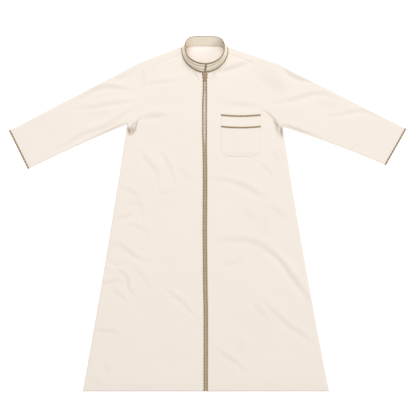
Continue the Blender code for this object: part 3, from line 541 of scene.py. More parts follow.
def thicken(thing, wall=None):
    """Gives a face of cloth its wall, below the face."""
    solidify = thing.modifiers.new("wall", "SOLIDIFY")
    solidify.thickness = sizes().cloth_wall if wall is None else wall
    solidify.offset = -1.0
    apply_modifiers(thing)


def grid_mesh(name, points, turned=False, ring=False, crease=None):
    """Quads over an array of points (rows, columns, 3). A ring joins its last column to its first."""
    rows, columns = points.shape[:2]
    index = np.arange(rows * columns).reshape(rows, columns)
    if ring:
        index = np.hstack((index, index[:, :1]))
    quads = points_of(index[:-1, :-1], index[:-1, 1:], index[1:, 1:], index[1:, :-1]).reshape(-1, 4)
    if turned:
        quads = quads[:, ::-1]
    mesh = bpy.data.meshes.new(name)
    mesh.from_pydata(points.reshape(-1, 3).tolist(), [], quads.tolist())
    across, along = np.zeros((rows, columns)), np.zeros((rows, columns))
    across[:, 1:] = np.cumsum(length_of(np.diff(points, axis=1)), axis=1)
    along[1:] = np.cumsum(length_of(np.diff(points, axis=0)), axis=0)
    corners = np.zeros(len(mesh.loops), np.int32)
    mesh.loops.foreach_get("vertex_index", corners)
    layer = mesh.uv_layers.new(name="cloth")
    flat = points_of(across.ravel(), along.ravel())
    layer.data.foreach_set("uv", flat[corners].astype(np.float32).ravel())
    depth = mesh.attributes.new("crease", "FLOAT", "POINT")
    if crease is not None:
        depth.data.foreach_set("value", crease.astype(np.float32).ravel())
    mesh.shade_smooth()
    return mesh


def dress(thing, replaces=(), body=BODY):
    """Gives a piece its body and hides the nodes that it stands for."""
    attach(thing, body)
    if replaces:
        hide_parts(*replaces)


def link_new(name, data):
    thing = bpy.data.objects.new(name, data)
    bpy.context.scene.collection.objects.link(thing)
    return thing


def cloth_shell(name, points, look, slot, replaces, wall=None, **shape):
    """A shell of cloth whose outer face lies on points."""
    thing = link_new(name, grid_mesh(name, points, **shape))
    thing.data.materials.append(finish(look))
    dress(thing, replaces)
    thicken(thing, wall)
    return thing


# A strip of surface for a trim: points[v, s] with heights across it and lengths along it.
Strip = namedtuple("Strip", "points across along")


def strip_through(lines, across):
    points = np.stack(lines)
    return Strip(points, np.array(across), travelled(points[len(points) // 2]))


def strip_of(line_at, across):
    """The strip whose lines are line_at these heights across it."""
    return strip_through([line_at(height) for height in across], across)


def lay_on(thing, strip, turned=False):
    """Bends a straight trim on to a strip: its x runs along, its y across and its z off the face."""
    mesh = thing.data
    co = np.zeros(len(mesh.vertices) * 3)
    mesh.vertices.foreach_get("co", co)
    co = co.reshape(-1, 3)
    up = unit(np.cross(np.gradient(strip.points, axis=1), np.gradient(strip.points, axis=0)))
    if turned:
        up = -up

    def cell(steps, values):
        """The step that each value lies in, and how far through it."""
        k = np.clip(np.searchsorted(steps, values) - 1, 0, len(steps) - 2)
        return k, column((values - steps[k]) / (steps[k + 1] - steps[k]))

    j, fs = cell(strip.along, co[:, 0])
    i, fv = cell(strip.across, co[:, 1])

    def at(values):
        low, high = (mix(values[k, j], values[k, j + 1], fs) for k in (i, i + 1))
        return mix(low, high, fv)

    placed = at(strip.points) + at(up) * co[:, 2:]
    mesh.vertices.foreach_set("co", placed.ravel())
    if turned:
        mesh.flip_normals()
    mesh.update()


def add_strand(centre, length, width, height, turn, look):
    """One strand of thread, as a stretched ball lying flat."""
    bpy.ops.mesh.primitive_uv_sphere_add(segments=6, ring_count=4, radius=0.5, location=centre,
                                         rotation=(0.0, math.pi / 2, 0.0))
    strand = bpy.context.object
    apply_transform(location=False, scale=False)
    strand.scale = (length, width, height)
    strand.rotation_euler = (0.0, 0.0, turn)
    apply_transform()
    strand.data.materials.append(finish(look))
    return strand


def add_block(low, high, look):
    """A block between two corners."""
    bpy.ops.mesh.primitive_cube_add(size=1.0, location=(Vector(low) + Vector(high)) / 2)
    block = bpy.context.object
    block.scale = Vector(high) - Vector(low)
    apply_transform()
    block.data.materials.append(finish(look))
    return block


def join(name, things):
    make_active(*things)
    bpy.ops.object.join()
    joined = bpy.context.object
    joined.name = joined.data.name = name
    bpy.ops.object.shade_smooth()
    return joined


def run_along(name, repeat, pitch, strip, turned=False, stretch_across=1.0):
    """Copies of a straight repeat all along a strip, fitted to its length."""
    length = strip.along[-1]
    count = max(1, round(length / pitch))
    thing = link_new(name, repeat.data.copy())
    thing.data.name = name
    thing.scale = (length / (count * pitch), stretch_across, 1.0)
    make_active(thing)
    apply_transform(location=False, rotation=False)
    array = thing.modifiers.new("row", "ARRAY")
    array.count = count
    array.use_relative_offset = False
    array.use_constant_offset = True
    array.constant_offset_displace = (length / count, 0.0, 0.0)
    apply_modifiers(thing)
    lay_on(thing, strip, turned)
    return thing


# ---- materials
OWN = "thobe_"              # keeps the finishes' names apart from those of the solids' plain colours
THREAD = 0.0007             # from one thread of the weave to the next
LATTICE, RIBS = 0.0065, 0.0136              # pitches of the collar's figure
FIGURE_FADES = (0.600, 0.645)               # it fades between these heights up the robe, towards the sides
# painted shade on the collar's inside: darker at its bends and low by its seam, where shade falls
LINING_BEND_SHADE_PAINTED = (0.052, 0.088)     # across the neck, where the collar's inside turns darker at its bends
LINING_SEAM_SHADE_PAINTED = (0.002, 0.011)       # up the collar, where its inside turns lighter above the seam
NECK_SHADE_STARTS = (0.90, 1.15)        # the painted shade round the neck starts past the rounded edge of the cloth inside the neck
# Heights up the zip between which its coil and tapes take painted light, and then a little less of it again.
COIL_PAINTED_LIGHT, COIL_PAINTED_LIGHT_EASES = (0.262, 0.300), (0.455, 0.490)


class Wire:
    """One socket of a finish. Arithmetic on it adds the Math nodes that work it out."""

    def __init__(self, look, socket):
        self.look, self.socket = look, socket

    def math(self, operation, *others):
        return self.look.node("ShaderNodeMath", {"operation": operation}, dict(enumerate((self, *others))))

    def __add__(self, other):
        return self.math("ADD", other)

    def __mul__(self, other):
        return self.math("MULTIPLY", other)

    __radd__, __rmul__ = __add__, __mul__

    def __sub__(self, other):
        return self.math("SUBTRACT", other)

    def __rsub__(self, other):
        return self.look.node("ShaderNodeMath", {"operation": "SUBTRACT"}, {0: other, 1: self})

    def clamped(self, low, high):
        """0 at low and 1 at high, with a soft step between."""
        return self.look.node("ShaderNodeMapRange", {"interpolation_type": "SMOOTHSTEP"},
                              {"Value": self, "From Min": low, "From Max": high})


class Finish:
    """A Principled material and the nodes that feed it."""

    def __init__(self, name, roughness, **fixed):
        self.material = bpy.data.materials.new(OWN + name)
        self.material.use_nodes = True
        self.tree = self.material.node_tree
        self.shader = self.tree.nodes["Principled BSDF"]
        self.feed(self.shader, "Roughness", roughness)
        for socket, value in fixed.items():
            self.shader.inputs[socket.replace("_", " ")].default_value = value

    def feed(self, node, socket, value):
        target = node.inputs[socket]
        if isinstance(value, Wire):
            self.tree.links.new(value.socket, target)
        elif target.type == "RGBA":
            target.default_value = (*value, 1.0)
        else:
            target.default_value = value

    def node(self, kind, settings=None, values=None, output=0):
        node = self.tree.nodes.new(kind)
        for setting, value in (settings or {}).items():
            setattr(node, setting, value)
        for socket, value in (values or {}).items():
            self.feed(node, socket, value)
        return Wire(self, node.outputs[output])

    def blend(self, share, a, b):
        """Colour a where share is 0 and b where it is 1. Sockets 6 and 7 and output 2 carry its colours."""
        return self.node("ShaderNodeMix", {"data_type": "RGBA"}, {0: share, 6: a, 7: b}, output=2)

    def coordinates(self, kind):
        return self.node("ShaderNodeTexCoord", output={"Object": 3, "UV": 2}[kind])

    def apart(self, vector, axis):
        return self.node("ShaderNodeSeparateXYZ", values={0: vector}, output=axis)

    def drawn_out(self, vector, along):
        """Coordinates in which a pattern is drawn out along y."""
        return self.node("ShaderNodeMapping", values={"Vector": vector, "Scale": (1.0, along, 1.0)})

    def noise(self, vector, size, detail=2.0):
        values = {"Vector": vector, "Scale": 1.0 / size, "Detail": detail}
        return self.node("ShaderNodeTexNoise", values=values)

    def bands(self, value, pitch):
        """A wave from -1 to 1 that repeats every pitch of value."""
        return (value * (2 * math.pi / pitch)).math("SINE")

    def weave(self, place):
        """Height of a plain weave: the warp and the weft take turns on top."""
        u, v = self.apart(place, 0), self.apart(place, 1)
        over = self.bands(u, 2 * THREAD) * self.bands(v, 2 * THREAD)
        ridges = self.bands(u, THREAD) + self.bands(v, THREAD)
        return over * 0.5 + ridges * 0.25

    def colour(self, value):
        self.feed(self.shader, "Base Color", value)

    def bump(self, height, distance, strength=1.0):
        values = {"Height": height, "Distance": distance, "Strength": strength}
        self.feed(self.shader, "Normal", self.node("ShaderNodeBump", values=values))


def beyond_neck_cloth(look, place):
    """0 on the cloth inside the neck, painted lighter, and 1 on the painted shade round it."""
    across = (look.apart(place, 0) - NECK_CLOTH.cx).math("ABSOLUTE") * (1 / NECK_CLOTH.half_width)
    behind = (look.apart(place, 1) - NECK_CLOTH.cy).math("MAXIMUM", 0.0) * (1 / NECK_CLOTH.back_depth)
    power = NECK_CLOTH.back_power
    return (across.math("POWER", power) + behind.math("POWER", power)).clamped(*NECK_SHADE_STARTS)


def cream_cloth(name, colour):
    look = Finish(name, 0.82, Sheen_Weight=0.15, Sheen_Roughness=0.5)
    place, body = look.coordinates("UV"), look.coordinates("Object")
    slubs = look.noise(look.drawn_out(place, 0.12), 0.0022, 3.0)
    cloud = look.noise(body, 0.16)
    uneven_tone = (cloud - 0.5) * 0.05
    # inside the neck the cloth takes a lighter colour, painted light, ringed with painted shade
    plain = paint(colour)
    if name == "neck_lining":
        plain = look.blend(beyond_neck_cloth(look, body), plain, paint("painted_neck_shade"))
    # painted shade: the crease attribute darkens crease floors towards the painted crease shade colour
    deep = look.node("ShaderNodeAttribute", {"attribute_name": "crease"}, output=2)
    look.colour(look.blend(deep + uneven_tone, plain, paint("fold")))
    look.bump(look.weave(place) + slubs * 1.6, 0.00008, 0.6)
    return look.material


def collar_cloth(name):
    """Woven with ribs round the band and a small diagonal lattice across them."""
    look = Finish(name, 0.80, Sheen_Weight=0.1)
    place = look.coordinates("UV")
    u, v = look.apart(place, 0), look.apart(place, 1)
    rising = look.bands(u + v, LATTICE).math("ABSOLUTE")
    falling = look.bands(u - v, LATTICE).math("ABSOLUTE")
    lattice = rising.math("MINIMUM", falling).clamped(0.05, 0.40)
    ribs = look.bands(v + u * 0.10, RIBS)
    figure = (1 - lattice) * 0.26 + ribs * 0.34 + 0.32
    beside = look.apart(look.coordinates("Object"), 1).clamped(*FIGURE_FADES)
    look.colour(look.blend(figure * (1 - beside * 0.8), paint("collar"), paint("collar_figure")))
    look.bump(lattice * 0.8 + ribs * 0.3 + look.weave(place) * 0.3, 0.00012, 0.8)
    return look.material


def collar_lining(name):
    look = Finish(name, 0.85, Sheen_Weight=0.1)
    body = look.coordinates("Object")
    cloud = look.noise(body, 0.03)
    # painted shade at the bends and low by the seam, over a random tone
    beside = (look.apart(body, 0) - COLLAR_RIM.cx).math("ABSOLUTE").clamped(*LINING_BEND_SHADE_PAINTED)
    low = 1 - look.apart(look.coordinates("UV"), 1).clamped(*LINING_SEAM_SHADE_PAINTED)
    look.colour(look.blend(cloud * 0.16 + beside * 0.16 + low * 0.07, paint("lining"), paint("fold")))
    look.bump(look.weave(look.coordinates("UV")), 0.00008, 0.6)
    return look.material


def spun_thread(name, colour, roughness, twist):
    """A thread with fine fibres along it and a little change of tone from place to place."""
    look = Finish(name, roughness, Sheen_Weight=0.1)
    place = look.coordinates("Object")
    fibre, patch = look.noise(place, twist, 3.0), look.noise(place, 0.011, 1.0)
    uneven = ((fibre - 0.5) * 1.1 + (patch - 0.5) * 0.9 + 0.35).clamped(0.0, 1.0)
    look.colour(look.blend(uneven, paint(colour), paint(colour, 0.62)))
    look.bump(fibre, 0.00015, 0.8)
    return look.material


# painted light on the coil and the inner tapes, strongest on the chest
def zip_painted_light(look, place):
    y = look.apart(place, 1)
    return y.clamped(*COIL_PAINTED_LIGHT) * (1 - y.clamped(*COIL_PAINTED_LIGHT_EASES) * 0.15)


def zip_tape_cloth(name):
    look = Finish(name, 0.85)
    place = look.coordinates("Object")
    rib = look.bands(look.apart(place, 0), 0.0012) + look.bands(look.apart(place, 1), 0.0009) * 0.5
    tone = look.blend(zip_painted_light(look, place), paint("tape"), paint("coil_painted_light"))
    look.colour(look.blend(rib * 0.05 + 0.05, tone, paint("tape", 0.6)))
    look.bump(rib, 0.00012, 0.7)
    return look.material


def zip_coil_plastic(name):
    look = Finish(name, 0.38)
    place = look.coordinates("Object")
    speck = look.noise(place, 0.0012)
    tone = look.blend(zip_painted_light(look, place), paint("coil"), paint("coil_painted_light"))
    look.colour(look.blend((speck - 0.4) * 0.4, tone, paint("coil", 0.6)))
    look.bump(speck, 0.00005, 0.4)
    return look.material


def zip_metal(name):
    look = Finish(name, 0.36, Metallic=0.55)
    place = look.coordinates("Object")
    brush = look.noise(look.drawn_out(place, 0.08), 0.0004)
    wear = look.noise(place, 0.004, 3.0).clamped(0.45, 0.75)
    look.colour(look.blend(wear * 0.5, paint("metal"), paint("metal", 1.35)))
    look.feed(look.shader, "Roughness", brush * 0.22 + 0.26)
    look.bump(brush, 0.00003, 0.5)
    return look.material


FINISH_MAKERS = {
    "cream_cloth": (cream_cloth, "cloth"), "neck_lining": (cream_cloth, "neck"),
    "collar_cloth": (collar_cloth,), "collar_lining": (collar_lining,),
    "olive_thread": (spun_thread, "olive", 0.70, 0.0006), "tan_thread": (spun_thread, "tan", 0.65, 0.0006),
    "cord_thread": (spun_thread, "cord", 0.70, 0.0006),
    "sewing_thread": (spun_thread, "thread", 0.70, 0.0004),
    "zip_tape_cloth": (zip_tape_cloth,), "zip_coil_plastic": (zip_coil_plastic,), "zip_metal": (zip_metal,),
}


def finish(name):
    """A finish by name, made when it is first asked for."""
    maker, *rest = FINISH_MAKERS[name]
    return bpy.data.materials.get(OWN + name) or maker(name, *rest)


# ---- fronts
# Rows in the skirt, beside the armhole's foot and above it: shares of each stretch and its rows.
SKIRT_ROWS = ((0.0, 0.94, 184), (0.94, 1.0, 30))
CHEST_ROWS = ((0.0, 0.34, 30), (0.34, 1.0, 28))
NECK_ROWS, NECK_CROWDING = 56, 1.25         # the neck's rows crowd towards the shoulder seam
CHEST_Y = 0.352             # the skirt's rows end at this height up the robe
CHEST_SHARE = 5 / 13        # share of the armhole beside the chest rows
INNER_STEPS = (0.0, 0.0035)
OUTER_STEPS = (0.0115, 0.0090, 0.0068, 0.0048, 0.0032, 0.0019, 0.0009, 0.0003, 0.0)
SPREAD_COLUMNS = 108
SHOULDER_SEAM_REACH = 0.7 * SEAM_REACH
SEAM_FAINTEST = 0.08        # how clearly the shoulder seam shows at the armhole
SEAM_GROWS = (0.25, 0.30)   # it grows clear from this share of its length, over this share
ARMHOLE_SEAM_GROWS = 0.02   # the armhole's seam grows clear over this height above the underarm


def uneven(rows):
    """Steps from 0 to 1 in stretches of their own spacing."""
    return np.concatenate([[0.0]] + [np.linspace(low, high, count + 1)[1:] for low, high, count in rows])


def front_plan(side):
    """Plan points of a front, rows from hem to shoulder and columns from zip to side."""
    skirt, chest = uneven(SKIRT_ROWS), uneven(CHEST_ROWS)[1:]
    neck = 1 - (1 - np.linspace(0, 1, NECK_ROWS + 1)[1:]) ** NECK_CROWDING
    y = np.concatenate((mix(HEM_Y, CHEST_Y, skirt), mix(CHEST_Y, neck_corner_y(side), chest)))
    inner = np.vstack((points_of(centre_x(y) + side.sign * opening_half(y), y), neckline(side, neck)))
    share = np.concatenate((CHEST_SHARE * chest, mix(CHEST_SHARE, 1.0, neck)))
    outer = np.vstack((side_edge(side, skirt), armhole(side, mix(1.0, ARMHOLE_SEAM_SHARE, share))))
    length = column(length_of(outer - inner))
    spread = mix(INNER_STEPS[-1], length - OUTER_STEPS[0], np.linspace(0, 1, SPREAD_COLUMNS)[1:-1])
    away = np.hstack((np.repeat([INNER_STEPS], len(inner), axis=0), spread, length - np.array([OUTER_STEPS])))
    plan = mix(inner[:, None], outer[:, None], (away / length)[..., None])
    return plan, length - away


def seam_sink(depth, away, reach=SEAM_REACH):
    """How far the cloth sinks beside a seam."""
    return depth * np.exp(-(away / reach) ** 2)


def shoulder_sink(side, plan, depth, reach=SEAM_REACH):
    """The same beside the forward shoulder seam, which shows less and less towards the armhole."""
    start = shoulder_seam(side, 0.0)
    run, away = shoulder_seam(side, 1.0) - start, plan - start
    shows = mix(SEAM_FAINTEST, 1.0, beyond(SEAM_GROWS, away @ run / (run @ run)))
    return seam_sink(depth * shows, np.abs(leftwards(away) @ run) / math.hypot(*run), reach)


def build_front(side):
    plan, from_edge = front_plan(side)
    z, deep = front_height(side, plan[..., 0], plan[..., 1])
    at_armhole = column(smooth((plan[:, -1, 1] - side.underarm[1]) / ARMHOLE_SEAM_GROWS))
    z = z - seam_sink(SEAM_DIP * ARMHOLE_SHOWS[side.name] * at_armhole, from_edge)
    z = z - shoulder_sink(side, plan, SEAM_DIP + LAP_SINK, SHOULDER_SEAM_REACH)
    node = f"front_{side.name}"
    cloth_shell(f"robe_{node}", raised(plan, z), "cream_cloth", "cream_cloth", [node],
                turned=side.sign < 0, crease=deep)


# ---- back and yoke
BACK_SIDE_COLUMNS, BACK_NECK_COLUMNS = 34, 30
BACK_COLUMNS = 2 * BACK_SIDE_COLUMNS + BACK_NECK_COLUMNS
BACK_ROWS, YOKE_ROWS = 96, 34
BACK_TOP_SHARE = 0.06       # the back's last whole row meets the armhole this far down it
BACK_HEM_RISE = 0.0003      # the back rises along its hem's stitches
TURN_RADIUS = 0.0060        # how far the cloth rounds over the shoulder's fold
TURN_STEPS = 7
YOKE_STEPS = 14
YOKE_DIP = 0.0010           # the yoke sinks this much to its seam, down to where the front has sunk
SHARP_ANGLE = 50            # in degrees, where the back's faces meet with a sharp edge


def shoulder_inset(side, t, inwards):
    """Points of the shoulder inwards of its fold, at most at the forward seam."""
    fold = shoulder_fold(side, t)
    run = shoulder_seam(side, t) - fold
    size = length_of(run) + SEAM_LAP
    return fold + run * column(np.minimum(inwards, size) / length_of(run))


def back_top():
    """The back's flat top edge, from the right shoulder tip to the left one."""
    right, left = SIDES
    t = np.linspace(0, 1, BACK_SIDE_COLUMNS + 1)
    over_right = shoulder_inset(right, t, TURN_RADIUS)
    over_left = shoulder_inset(left, t[::-1], TURN_RADIUS)
    a, b = over_right[-1], over_left[0]
    share = np.linspace(0, 1, BACK_NECK_COLUMNS + 1)[1:-1]
    fullness = np.minimum(1.0, 6 * np.minimum(share, 1 - share))
    middle = points_of(mix(a[0], b[0], share), mix(mix(a[1], b[1], share), BACK_NECK_Y, fullness))
    return np.vstack((over_right, middle, over_left))


def back_plan():
    """Plan points of the flat back, rows from hem to shoulders and columns from right to left."""
    top = back_top()
    t = np.linspace(0, 1, BACK_ROWS + 1)
    down = np.linspace(1.0, BACK_TOP_SHARE, YOKE_ROWS)[1:]
    right, left = (np.vstack((side_edge(side, t), armhole(side, down))) for side in SIDES)
    top_share = (top[:, 0] - top[0, 0]) / (top[-1, 0] - top[0, 0])
    rows = len(right)
    level = np.linspace(0, 1, rows + 1)[:-1]
    share = mix(np.linspace(0, 1, BACK_COLUMNS + 1), top_share, level[:, None])
    plan = mix(right[:, None], left[:, None], share[..., None])
    pull = smooth((np.arange(rows) - BACK_ROWS) / YOKE_ROWS)[:, None]
    plan[..., 1] += (top[:, 1] - mix(top[0, 1], top[-1, 1], top_share)) * pull
    return np.vstack((plan, top[None]))


def yoke_points(side):
    """The back's cloth where it turns over the shoulder, up to the forward seam and a little beneath it."""
    t = np.linspace(0, 1, BACK_SIDE_COLUMNS + 1)
    rows = []
    for k in range(2 * TURN_STEPS + 1):
        angle = math.pi * (k / (2 * TURN_STEPS) - 0.5)
        plan = shoulder_inset(side, t, TURN_RADIUS * (1 - math.cos(angle)))
        share = 0.5 + 0.5 * math.sin(angle)
        above = front_height(side, plan[:, 0], plan[:, 1])[0] - FACE_Z
        rows.append(raised(plan, FACE_Z * share + above * near_top(share)))
    seam = length_of(shoulder_seam(side, t) - shoulder_fold(side, t))
    for k in range(1, YOKE_STEPS + 2):
        past_seam = k > YOKE_STEPS
        inwards = seam + SEAM_LAP if past_seam else mix(TURN_RADIUS, seam, k / YOKE_STEPS)
        plan = shoulder_inset(side, t, inwards)
        z = front_height(side, plan[:, 0], plan[:, 1])[0] - shoulder_sink(side, plan, YOKE_DIP)
        rows.append(raised(plan, z - LAP_SINK * past_seam))
    return np.stack(rows)


def build_back():
    """Lays the flat back and turns its cloth over both shoulders, in one piece."""
    plan = back_plan()
    x, y = plan[..., 0], plan[..., 1]
    z = np.maximum(crease_relief(BACK_CREASES, x, y)[0], 0.0) - groove(y - HEM_Y - HEM_DEPTH, BACK_HEM_RISE)
    pieces = [grid_mesh("back", raised(plan, z), turned=True)]
    pieces += [grid_mesh("yoke", yoke_points(side), turned=side.sign < 0) for side in SIDES]
    for mesh in pieces:
        mesh.materials.append(finish("cream_cloth"))
    back = join("robe_back", [link_new("robe_back", mesh) for mesh in pieces])
    weld(back, within=0.00002)
    dress(back, ["back"])
    thicken(back)
    back.data.set_sharp_from_angle(angle=math.radians(SHARP_ANGLE))
    # the faces inside the collar take the neck's painted light and the painted shade round it
    back.data.materials.append(finish("neck_lining"))
    for face in back.data.polygons:
        x, y, z = face.center
        if z < SEAM_Z and face.normal.z > 0.5 and inside_loop(COLLAR_SEAM, x, y):
            face.material_index = 1


# ---- sleeves
SLEEVE_STARTS = (0.0, 0.0006, 0.0012, 0.0020, 0.0030, 0.0042, 0.0058, 0.0078)
SLEEVE_MIDDLE_ROWS = 132
CUFF_STEPS = tuple(0.0205 - 0.0010 * k for k in range(14)) + tuple(0.0065 - 0.0005 * k for k in range(14))
CUFF_BRAID_WALL = 0.0013    # the braid under the cuff lifts its lower layer this much
CUFF_BRAID_EASE = 0.003
CUFF_CALM = (0.006, 0.014)  # the creases start this far from the cuff's edge, over this width
CUFF_GROOVE, CUFF_UNDER_GROOVE = 0.0006, 0.0004
EDGE_ROUND = 0.0060
EDGE_STEPS = 6
FACE_COLUMNS, UNDER_COLUMNS = 48, 14


def sleeve_line(side, w, from_armhole=None, share=None, before_cuff=None):
    """Plan points of the sleeve: w = 0 at the upper edge and 1 at the underarm seam."""
    start = armhole(side, w) - armhole_outward(side, w) * SEAM_LAP
    end = mix(np.array(side.cuff_top), np.array(side.cuff_low), column(w))
    run = end - start
    size = length_of(run)
    if from_armhole is not None:
        share = from_armhole / size
    elif before_cuff is not None:
        share = 1 - before_cuff / size
    else:
        share = mix(SLEEVE_STARTS[-1] / size, 1 - CUFF_STEPS[0] / size, share)
    aside = unit(leftwards(run)) * side.sign
    return start + run * column(share) + aside * column(side.arm_bow * 4 * share * (1 - share) * w)


def sleeve_ring(side, **where):
    """One ring of the sleeve, from its upper fold over the face and back beneath: points and painted shade.
    """
    ends = sleeve_line(side, np.array([0.0, 1.0]), **where)
    width = math.hypot(*(ends[1] - ends[0]))
    angle = np.linspace(0, math.pi / 2, EDGE_STEPS + 1)
    inwards, height = EDGE_ROUND / width * (1 - np.cos(angle)), 0.5 + 0.5 * np.sin(angle)
    face = np.linspace(inwards[-1], 1 - inwards[-1], FACE_COLUMNS + 1)[1:-1]
    under = np.linspace(1 - inwards[-1], inwards[-1], UNDER_COLUMNS + 1)[1:-1]
    w = np.concatenate((inwards, face, 1 - inwards[::-1], 1 - inwards[1:], under, inwards[:0:-1]))
    share = np.concatenate((height, np.ones_like(face), height[::-1], 1 - height[1:], np.zeros_like(under),
                            1 - height[:0:-1]))
    plan = sleeve_line(side, w, **where)
    lift, deep = crease_relief(SLEEVE_CREASES, plan[:, 0], plan[:, 1])
    on_face, beneath = near_top(share), share < 0.5
    relief = (lift + soft_waves(plan[:, 0], plan[:, 1])) * on_face
    before, start = where.get("before_cuff"), where.get("from_armhole")
    if before is None:
        z = mix(0.0, FACE_Z, share) + relief
    else:
        low = CUFF_BRAID_WALL * smooth((BRAID + CUFF_BRAID_EASE - before) / CUFF_BRAID_EASE)
        z = mix(low, FACE_Z, share) + relief * beyond(CUFF_CALM, before)
        stitches = before - CUFF_HEM
        z = z + groove(stitches, CUFF_GROOVE) * on_face - groove(stitches, CUFF_UNDER_GROOVE) * beneath
    if start is not None:
        lapped = LAP_SINK * smooth(1 - start / SEAM_LAP)
        dip = seam_sink(SEAM_DIP * ARMHOLE_SHOWS[side.name], start - SEAM_LAP)
        z = z - (dip + lapped) * on_face + lapped * beneath
    z = np.where(share > 0.99, np.maximum(z, LOWEST_FACE_Z), z)
    return raised(plan, z), deep * on_face


def build_sleeve(side):
    middle = [k / (SLEEVE_MIDDLE_ROWS + 1) for k in range(1, SLEEVE_MIDDLE_ROWS + 1)]
    rings = [sleeve_ring(side, from_armhole=start) for start in SLEEVE_STARTS]
    rings += [sleeve_ring(side, share=share) for share in middle]
    rings += [sleeve_ring(side, before_cuff=step) for step in (*CUFF_STEPS, 0.0)]
    points, deep = (np.stack(part) for part in zip(*rings))
    node = f"sleeve_{side.name}"
    cloth_shell(f"robe_{node}", points, "cream_cloth", "cream_cloth", [node],
                ring=True, turned=side.sign < 0, crease=deep)


# ---- collar
COLLAR_STATIONS, COLLAR_ROWS = 300, 16
COLLAR_CUT = 0.00015        # the band's ends stop this short of its cut
COLLAR_BACK_Z, COLLAR_FRONT_Z = 0.0022, 0.0061
COLLAR_EASE = 0.012         # rounds off the band's rise where it lies nearly flat
COLLAR_FOOT = -0.0004       # its lower edge reaches past its seam
COLLAR_TURN_IN = (0.0, -0.0016, -0.0009)    # its lower edge turns in this way behind the neck
SEAM_BRAID_FROM = 0.0025
END_BRAID = 0.0040
LAID_FROM_Y, LAID_WITHIN_Y = 0.640, 0.026   # the band lies on the back behind the neck, between its bends
LAID_HALF, LAID_WITHIN_X = 0.092, 0.014


def collar_lines():
    """The band's seam and rim lines in space, in step round the neck."""
    seam = loop_stations(COLLAR_SEAM, COLLAR_STATIONS, COLLAR_CUT)
    rim = loop_stations(COLLAR_RIM, COLLAR_STATIONS, COLLAR_CUT)
    behind = (smooth((seam[:, 1] - LAID_FROM_Y) / LAID_WITHIN_Y)
              * smooth((LAID_HALF - np.abs(seam[:, 0] - COLLAR_SEAM.cx)) / LAID_WITHIN_X))
    z = mix(COLLAR_FRONT_Z, COLLAR_BACK_Z, behind)
    spare = np.maximum(COLLAR_HEIGHT ** 2 - length_of(rim - seam) ** 2, 0.0)
    return raised(seam, z), raised(rim, z + spare / np.sqrt(spare + COLLAR_EASE ** 2))


def collar_face(height, lift=None):
    """The band's line at a height from its seam, on its outer face or moved outwards by lift."""
    low, high = collar_lines()
    up = unit(high - low)
    line = low + up * height
    outward = unit(np.cross(up, np.gradient(line, axis=0)))
    return line + outward * (sizes().cloth_wall / 2 if lift is None else lift)


def collar_hem():
    """The band's lower edge, which turns in and down to the back's cloth behind the neck."""
    behind = (COLLAR_FRONT_Z - collar_lines()[0][:, 2]) / (COLLAR_FRONT_Z - COLLAR_BACK_Z)
    return collar_face(COLLAR_FOOT) + column(behind) * np.array(COLLAR_TURN_IN)


def build_collar():
    rows = [collar_hem()] + [collar_face(height) for height in np.linspace(0, COLLAR_HEIGHT, COLLAR_ROWS)]
    band = cloth_shell("robe_collar_band", np.stack(rows), "collar_cloth", "collar_cloth", ["collar_band"],
                       turned=True)
    # its inner wall is of the plainer lining
    band.data.materials.append(finish("collar_lining"))
    outer = COLLAR_ROWS * (len(rows[0]) - 1)
    for face in band.data.polygons[outer:]:
        face.material_index = 1


# ---- pocket
POCKET_LEFT_X, POCKET_RIGHT_X = 0.0530, 0.2120
POCKET_TOP_Y, POCKET_BOTTOM_Y = 0.3985, 0.2290
POCKET_CUT_IN, POCKET_CUT_UP = 0.030, 0.018
POCKET_COLUMNS, POCKET_ROWS = 72, 76
POCKET_SIDE_RISE, POCKET_LOW_RISE = 0.00003, 0.00045
POCKET_PUFF = 0.0007        # it stands this much fuller than its cloth, within POCKET_EASE of its edges
POCKET_EASE = 0.024
POCKET_CORNER_EASE = 0.006
POCKET_STITCHES = (0.0022, 0.0085)          # two rows run this far inside its edge
POCKET_STITCH_STEPS = 160
POCKET_GROOVE = 0.0005
STITCHES_START, STITCHES_END = 0.001, 0.003     # rows of stitches end this far from braids and from edges
BRAID_SAG = 0.0045          # its braids and its top edge sag this much at the middle


def sag(x):
    share = (x - POCKET_LEFT_X) / (POCKET_RIGHT_X - POCKET_LEFT_X)
    return BRAID_SAG * 4 * share * (1 - share)


def from_pocket_side(x):
    return np.minimum(x - POCKET_LEFT_X, POCKET_RIGHT_X - x)


def pocket_bottom(x):
    return POCKET_BOTTOM_Y + POCKET_CUT_UP * np.clip(1 - from_pocket_side(x) / POCKET_CUT_IN, 0, 1)


def pocket_height(x, y):
    """Height of the pocket's face: it lies on the front and is a little full at its middle."""
    from_side, from_low = from_pocket_side(x), y - pocket_bottom(x)
    edge = np.minimum(from_side, from_low)
    is_low = smooth((from_side - from_low) / POCKET_CORNER_EASE)
    rise = mix(mix(POCKET_SIDE_RISE, POCKET_LOW_RISE, is_low), sizes().cloth_wall + POCKET_PUFF,
               smooth(edge / POCKET_EASE))
    pulled = sum(groove(edge - inset, POCKET_GROOVE) for inset in POCKET_STITCHES)
    return front_height(SIDES[1], x, y)[0] + rise + pulled * is_low


def build_pocket():
    x = np.linspace(POCKET_LEFT_X, POCKET_RIGHT_X, POCKET_COLUMNS + 1)
    y = mix(pocket_bottom(x), POCKET_TOP_Y - sag(x), np.linspace(0, 1, POCKET_ROWS + 1)[:, None])
    x = np.repeat(x[None], POCKET_ROWS + 1, axis=0)
    cloth_shell("robe_pocket", points_of(x, y, pocket_height(x, y)), "cream_cloth", "cream_cloth", ["pocket"])


